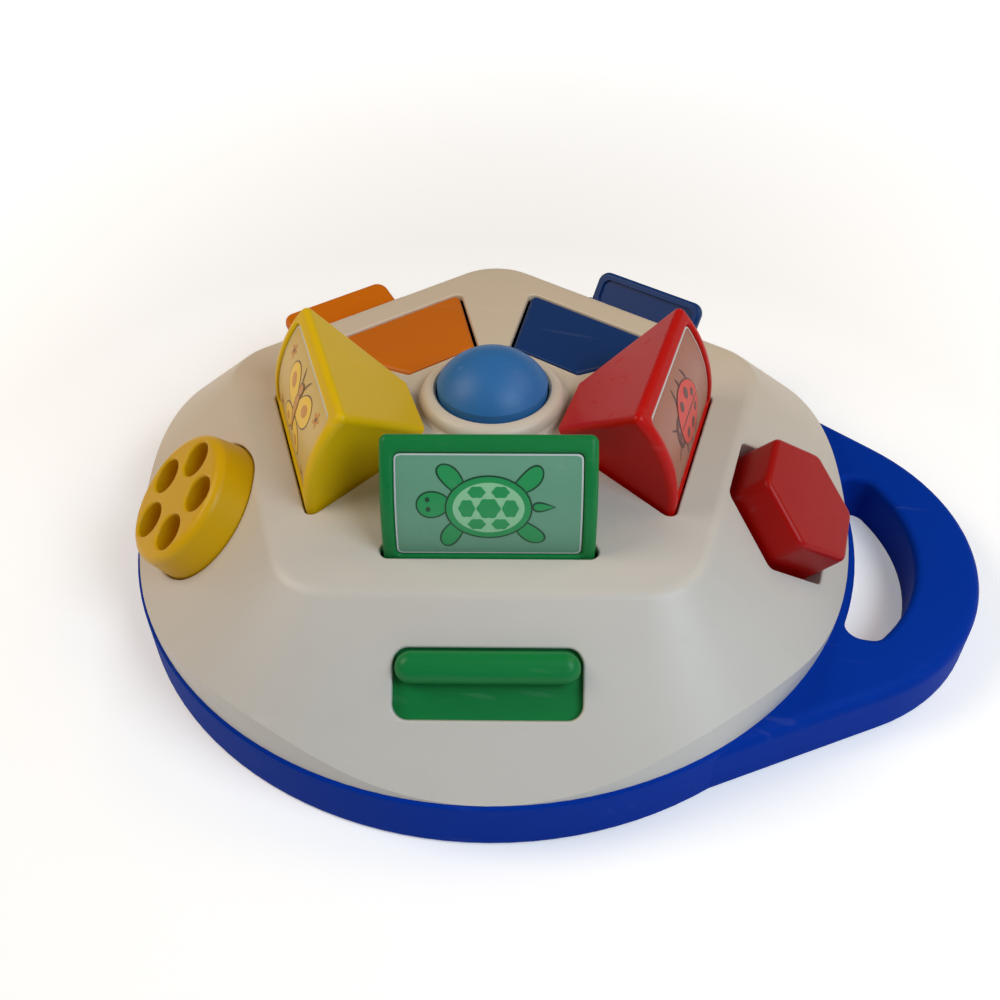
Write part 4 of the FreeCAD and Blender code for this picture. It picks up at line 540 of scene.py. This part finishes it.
class TOY_OT_stage(bpy.types.Operator):
    """Set the floor, the light and the camera"""
    bl_idname = "toy.stage"
    bl_label = "Stage"

    def execute(self, context):
        scene = context.scene
        bm = bmesh.new()
        bmesh.ops.create_grid(bm, x_segments=1, y_segments=1, size=sizes().floor / 2,
                              matrix=Matrix.Translation((0.0, 0.0, -0.0001)))
        mesh = bpy.data.meshes.new("floor")
        bm.to_mesh(mesh)
        bm.free()
        floor = bpy.data.objects.new("floor", mesh)
        scene.collection.objects.link(floor)
        # white paper: a camera-only glow shows it white, graded with distance: weaker near the toy, a painted shade
        # round it, stronger far off, painted light where the lamps fall off; its shadows stay
        material = bpy.data.materials.new("White paper")
        material.use_nodes = True
        tree = material.node_tree
        tree.nodes.clear()
        paper = add(tree, "ShaderNodeBsdfDiffuse", {"Color": linear("#f4f4f4")})
        place = add(tree, "ShaderNodeTexCoord")
        away = add(tree, "ShaderNodeVectorMath", {"operation": "LENGTH"}, {0: place.outputs["Object"]})
        # painted shade near the toy and painted light far off: the glow grows from 0.25 to 1 with distance
        lift = add(tree, "ShaderNodeMapRange",
                   {"From Min": 0.25, "From Max": 0.9, "To Min": 0.25, "To Max": 1.0},
                   {"Value": away.outputs["Value"]})
        glow = add(tree, "ShaderNodeEmission", {"Color": (1.0, 1.0, 1.0, 1.0)}, {"Strength": lift.outputs[0]})
        ray = add(tree, "ShaderNodeLightPath")
        seen = add(tree, "ShaderNodeMath", {"operation": "MAXIMUM"},
                   {0: ray.outputs["Is Camera Ray"], 1: ray.outputs["Is Glossy Ray"]})
        added = add(tree, "ShaderNodeAddShader", None, {0: paper.outputs[0], 1: glow.outputs[0]})
        mixed = add(tree, "ShaderNodeMixShader", None,
                    {0: seen.outputs[0], 1: paper.outputs[0], 2: added.outputs[0]})
        add(tree, "ShaderNodeOutputMaterial", None, {0: mixed.outputs[0]})
        mesh.materials.append(material)

        world = bpy.data.worlds.new("studio")
        scene.world = world
        world.use_nodes = True
        tree = world.node_tree
        tree.nodes.clear()
        soft = add(tree, "ShaderNodeBackground", {"Color": linear("#f6f3ee"), "Strength": 0.17})
        white = add(tree, "ShaderNodeBackground", {"Color": (1.0, 1.0, 1.0, 1.0), "Strength": 1.0})
        ray = add(tree, "ShaderNodeLightPath")
        mixed = add(tree, "ShaderNodeMixShader", None,
                    {0: ray.outputs["Is Camera Ray"], 1: soft.outputs[0], 2: white.outputs[0]})
        add(tree, "ShaderNodeOutputWorld", None, {0: mixed.outputs[0]})

        # a cool window at the front right, a warm room behind it on the left, a warm lamp near the right
        middle = (0.0, 0.0, 0.03)
        lamp(context, "window", (0.61, -0.35, 0.74), middle, 0.55, 5.7, (0.72, 0.86, 1.0))
        lamp(context, "room", (-0.68, -0.18, 0.74), middle, 0.55, 4.5, (1.0, 0.86, 0.71))
        lamp(context, "lamp", (0.35, 0.15, 0.45), middle, 0.3, 0.55, (1.0, 0.7, 0.4))

        azimuth, elevation, roll = math.radians(AZIMUTH), math.radians(ELEVATION), math.radians(ROLL)
        back = Vector((math.sin(azimuth) * math.cos(elevation), -math.cos(azimuth) * math.cos(elevation),
                       math.sin(elevation)))
        lens = bpy.data.cameras.new("camera")
        lens.lens = 38.21
        lens.sensor_width = 36.0
        lens.sensor_fit = "HORIZONTAL"
        lens.shift_x = SHIFT_X
        lens.shift_y = SHIFT_Y
        camera = bpy.data.objects.new("camera", lens)
        camera.location = Vector((0.0, 0.0, AIM_HEIGHT)) + back * DISTANCE
        look = (-back).to_track_quat("-Z", "Y").to_matrix()
        camera.rotation_euler = (look @ Matrix.Rotation(roll, 3, "Z")).to_euler()
        scene.collection.objects.link(camera)
        scene.camera = camera
        scene.view_settings.view_transform = "Standard"
        return {"FINISHED"}


class TOY_PT_panel(bpy.types.Panel):
    """Lists the steps that build the toy's looks"""
    bl_idname = "TOY_PT_panel"
    bl_label = "Pop-up flap toy"
    bl_space_type = "VIEW_3D"
    bl_region_type = "UI"
    bl_category = "Toy"

    def draw(self, context):
        for step in STEPS:
            self.layout.operator(step.bl_idname)
        for group in (context.scene.toy_colours, context.scene.toy_sizes):
            for key in group.__annotations__:
                self.layout.prop(group, key)


STEPS = (TOY_OT_shells, TOY_OT_flaps, TOY_OT_pictures, TOY_OT_actuators, TOY_OT_inside, TOY_OT_springs,
         TOY_OT_stage)
CLASSES = (ToyColours, ToySizes) + STEPS + (TOY_PT_panel,)


def register():
    for item in CLASSES:
        bpy.utils.register_class(item)
    bpy.types.Scene.toy_colours = PointerProperty(type=ToyColours)
    bpy.types.Scene.toy_sizes = PointerProperty(type=ToySizes)


def unregister():
    del bpy.types.Scene.toy_sizes
    del bpy.types.Scene.toy_colours
    for item in reversed(CLASSES):
        bpy.utils.unregister_class(item)


def main():
    register()
    bpy.ops.toy.shells()
    bpy.ops.toy.flaps()
    bpy.ops.toy.pictures()
    bpy.ops.toy.actuators()
    bpy.ops.toy.inside()
    bpy.ops.toy.springs()
    bpy.ops.toy.stage()


if __name__ == "__main__":
    main()
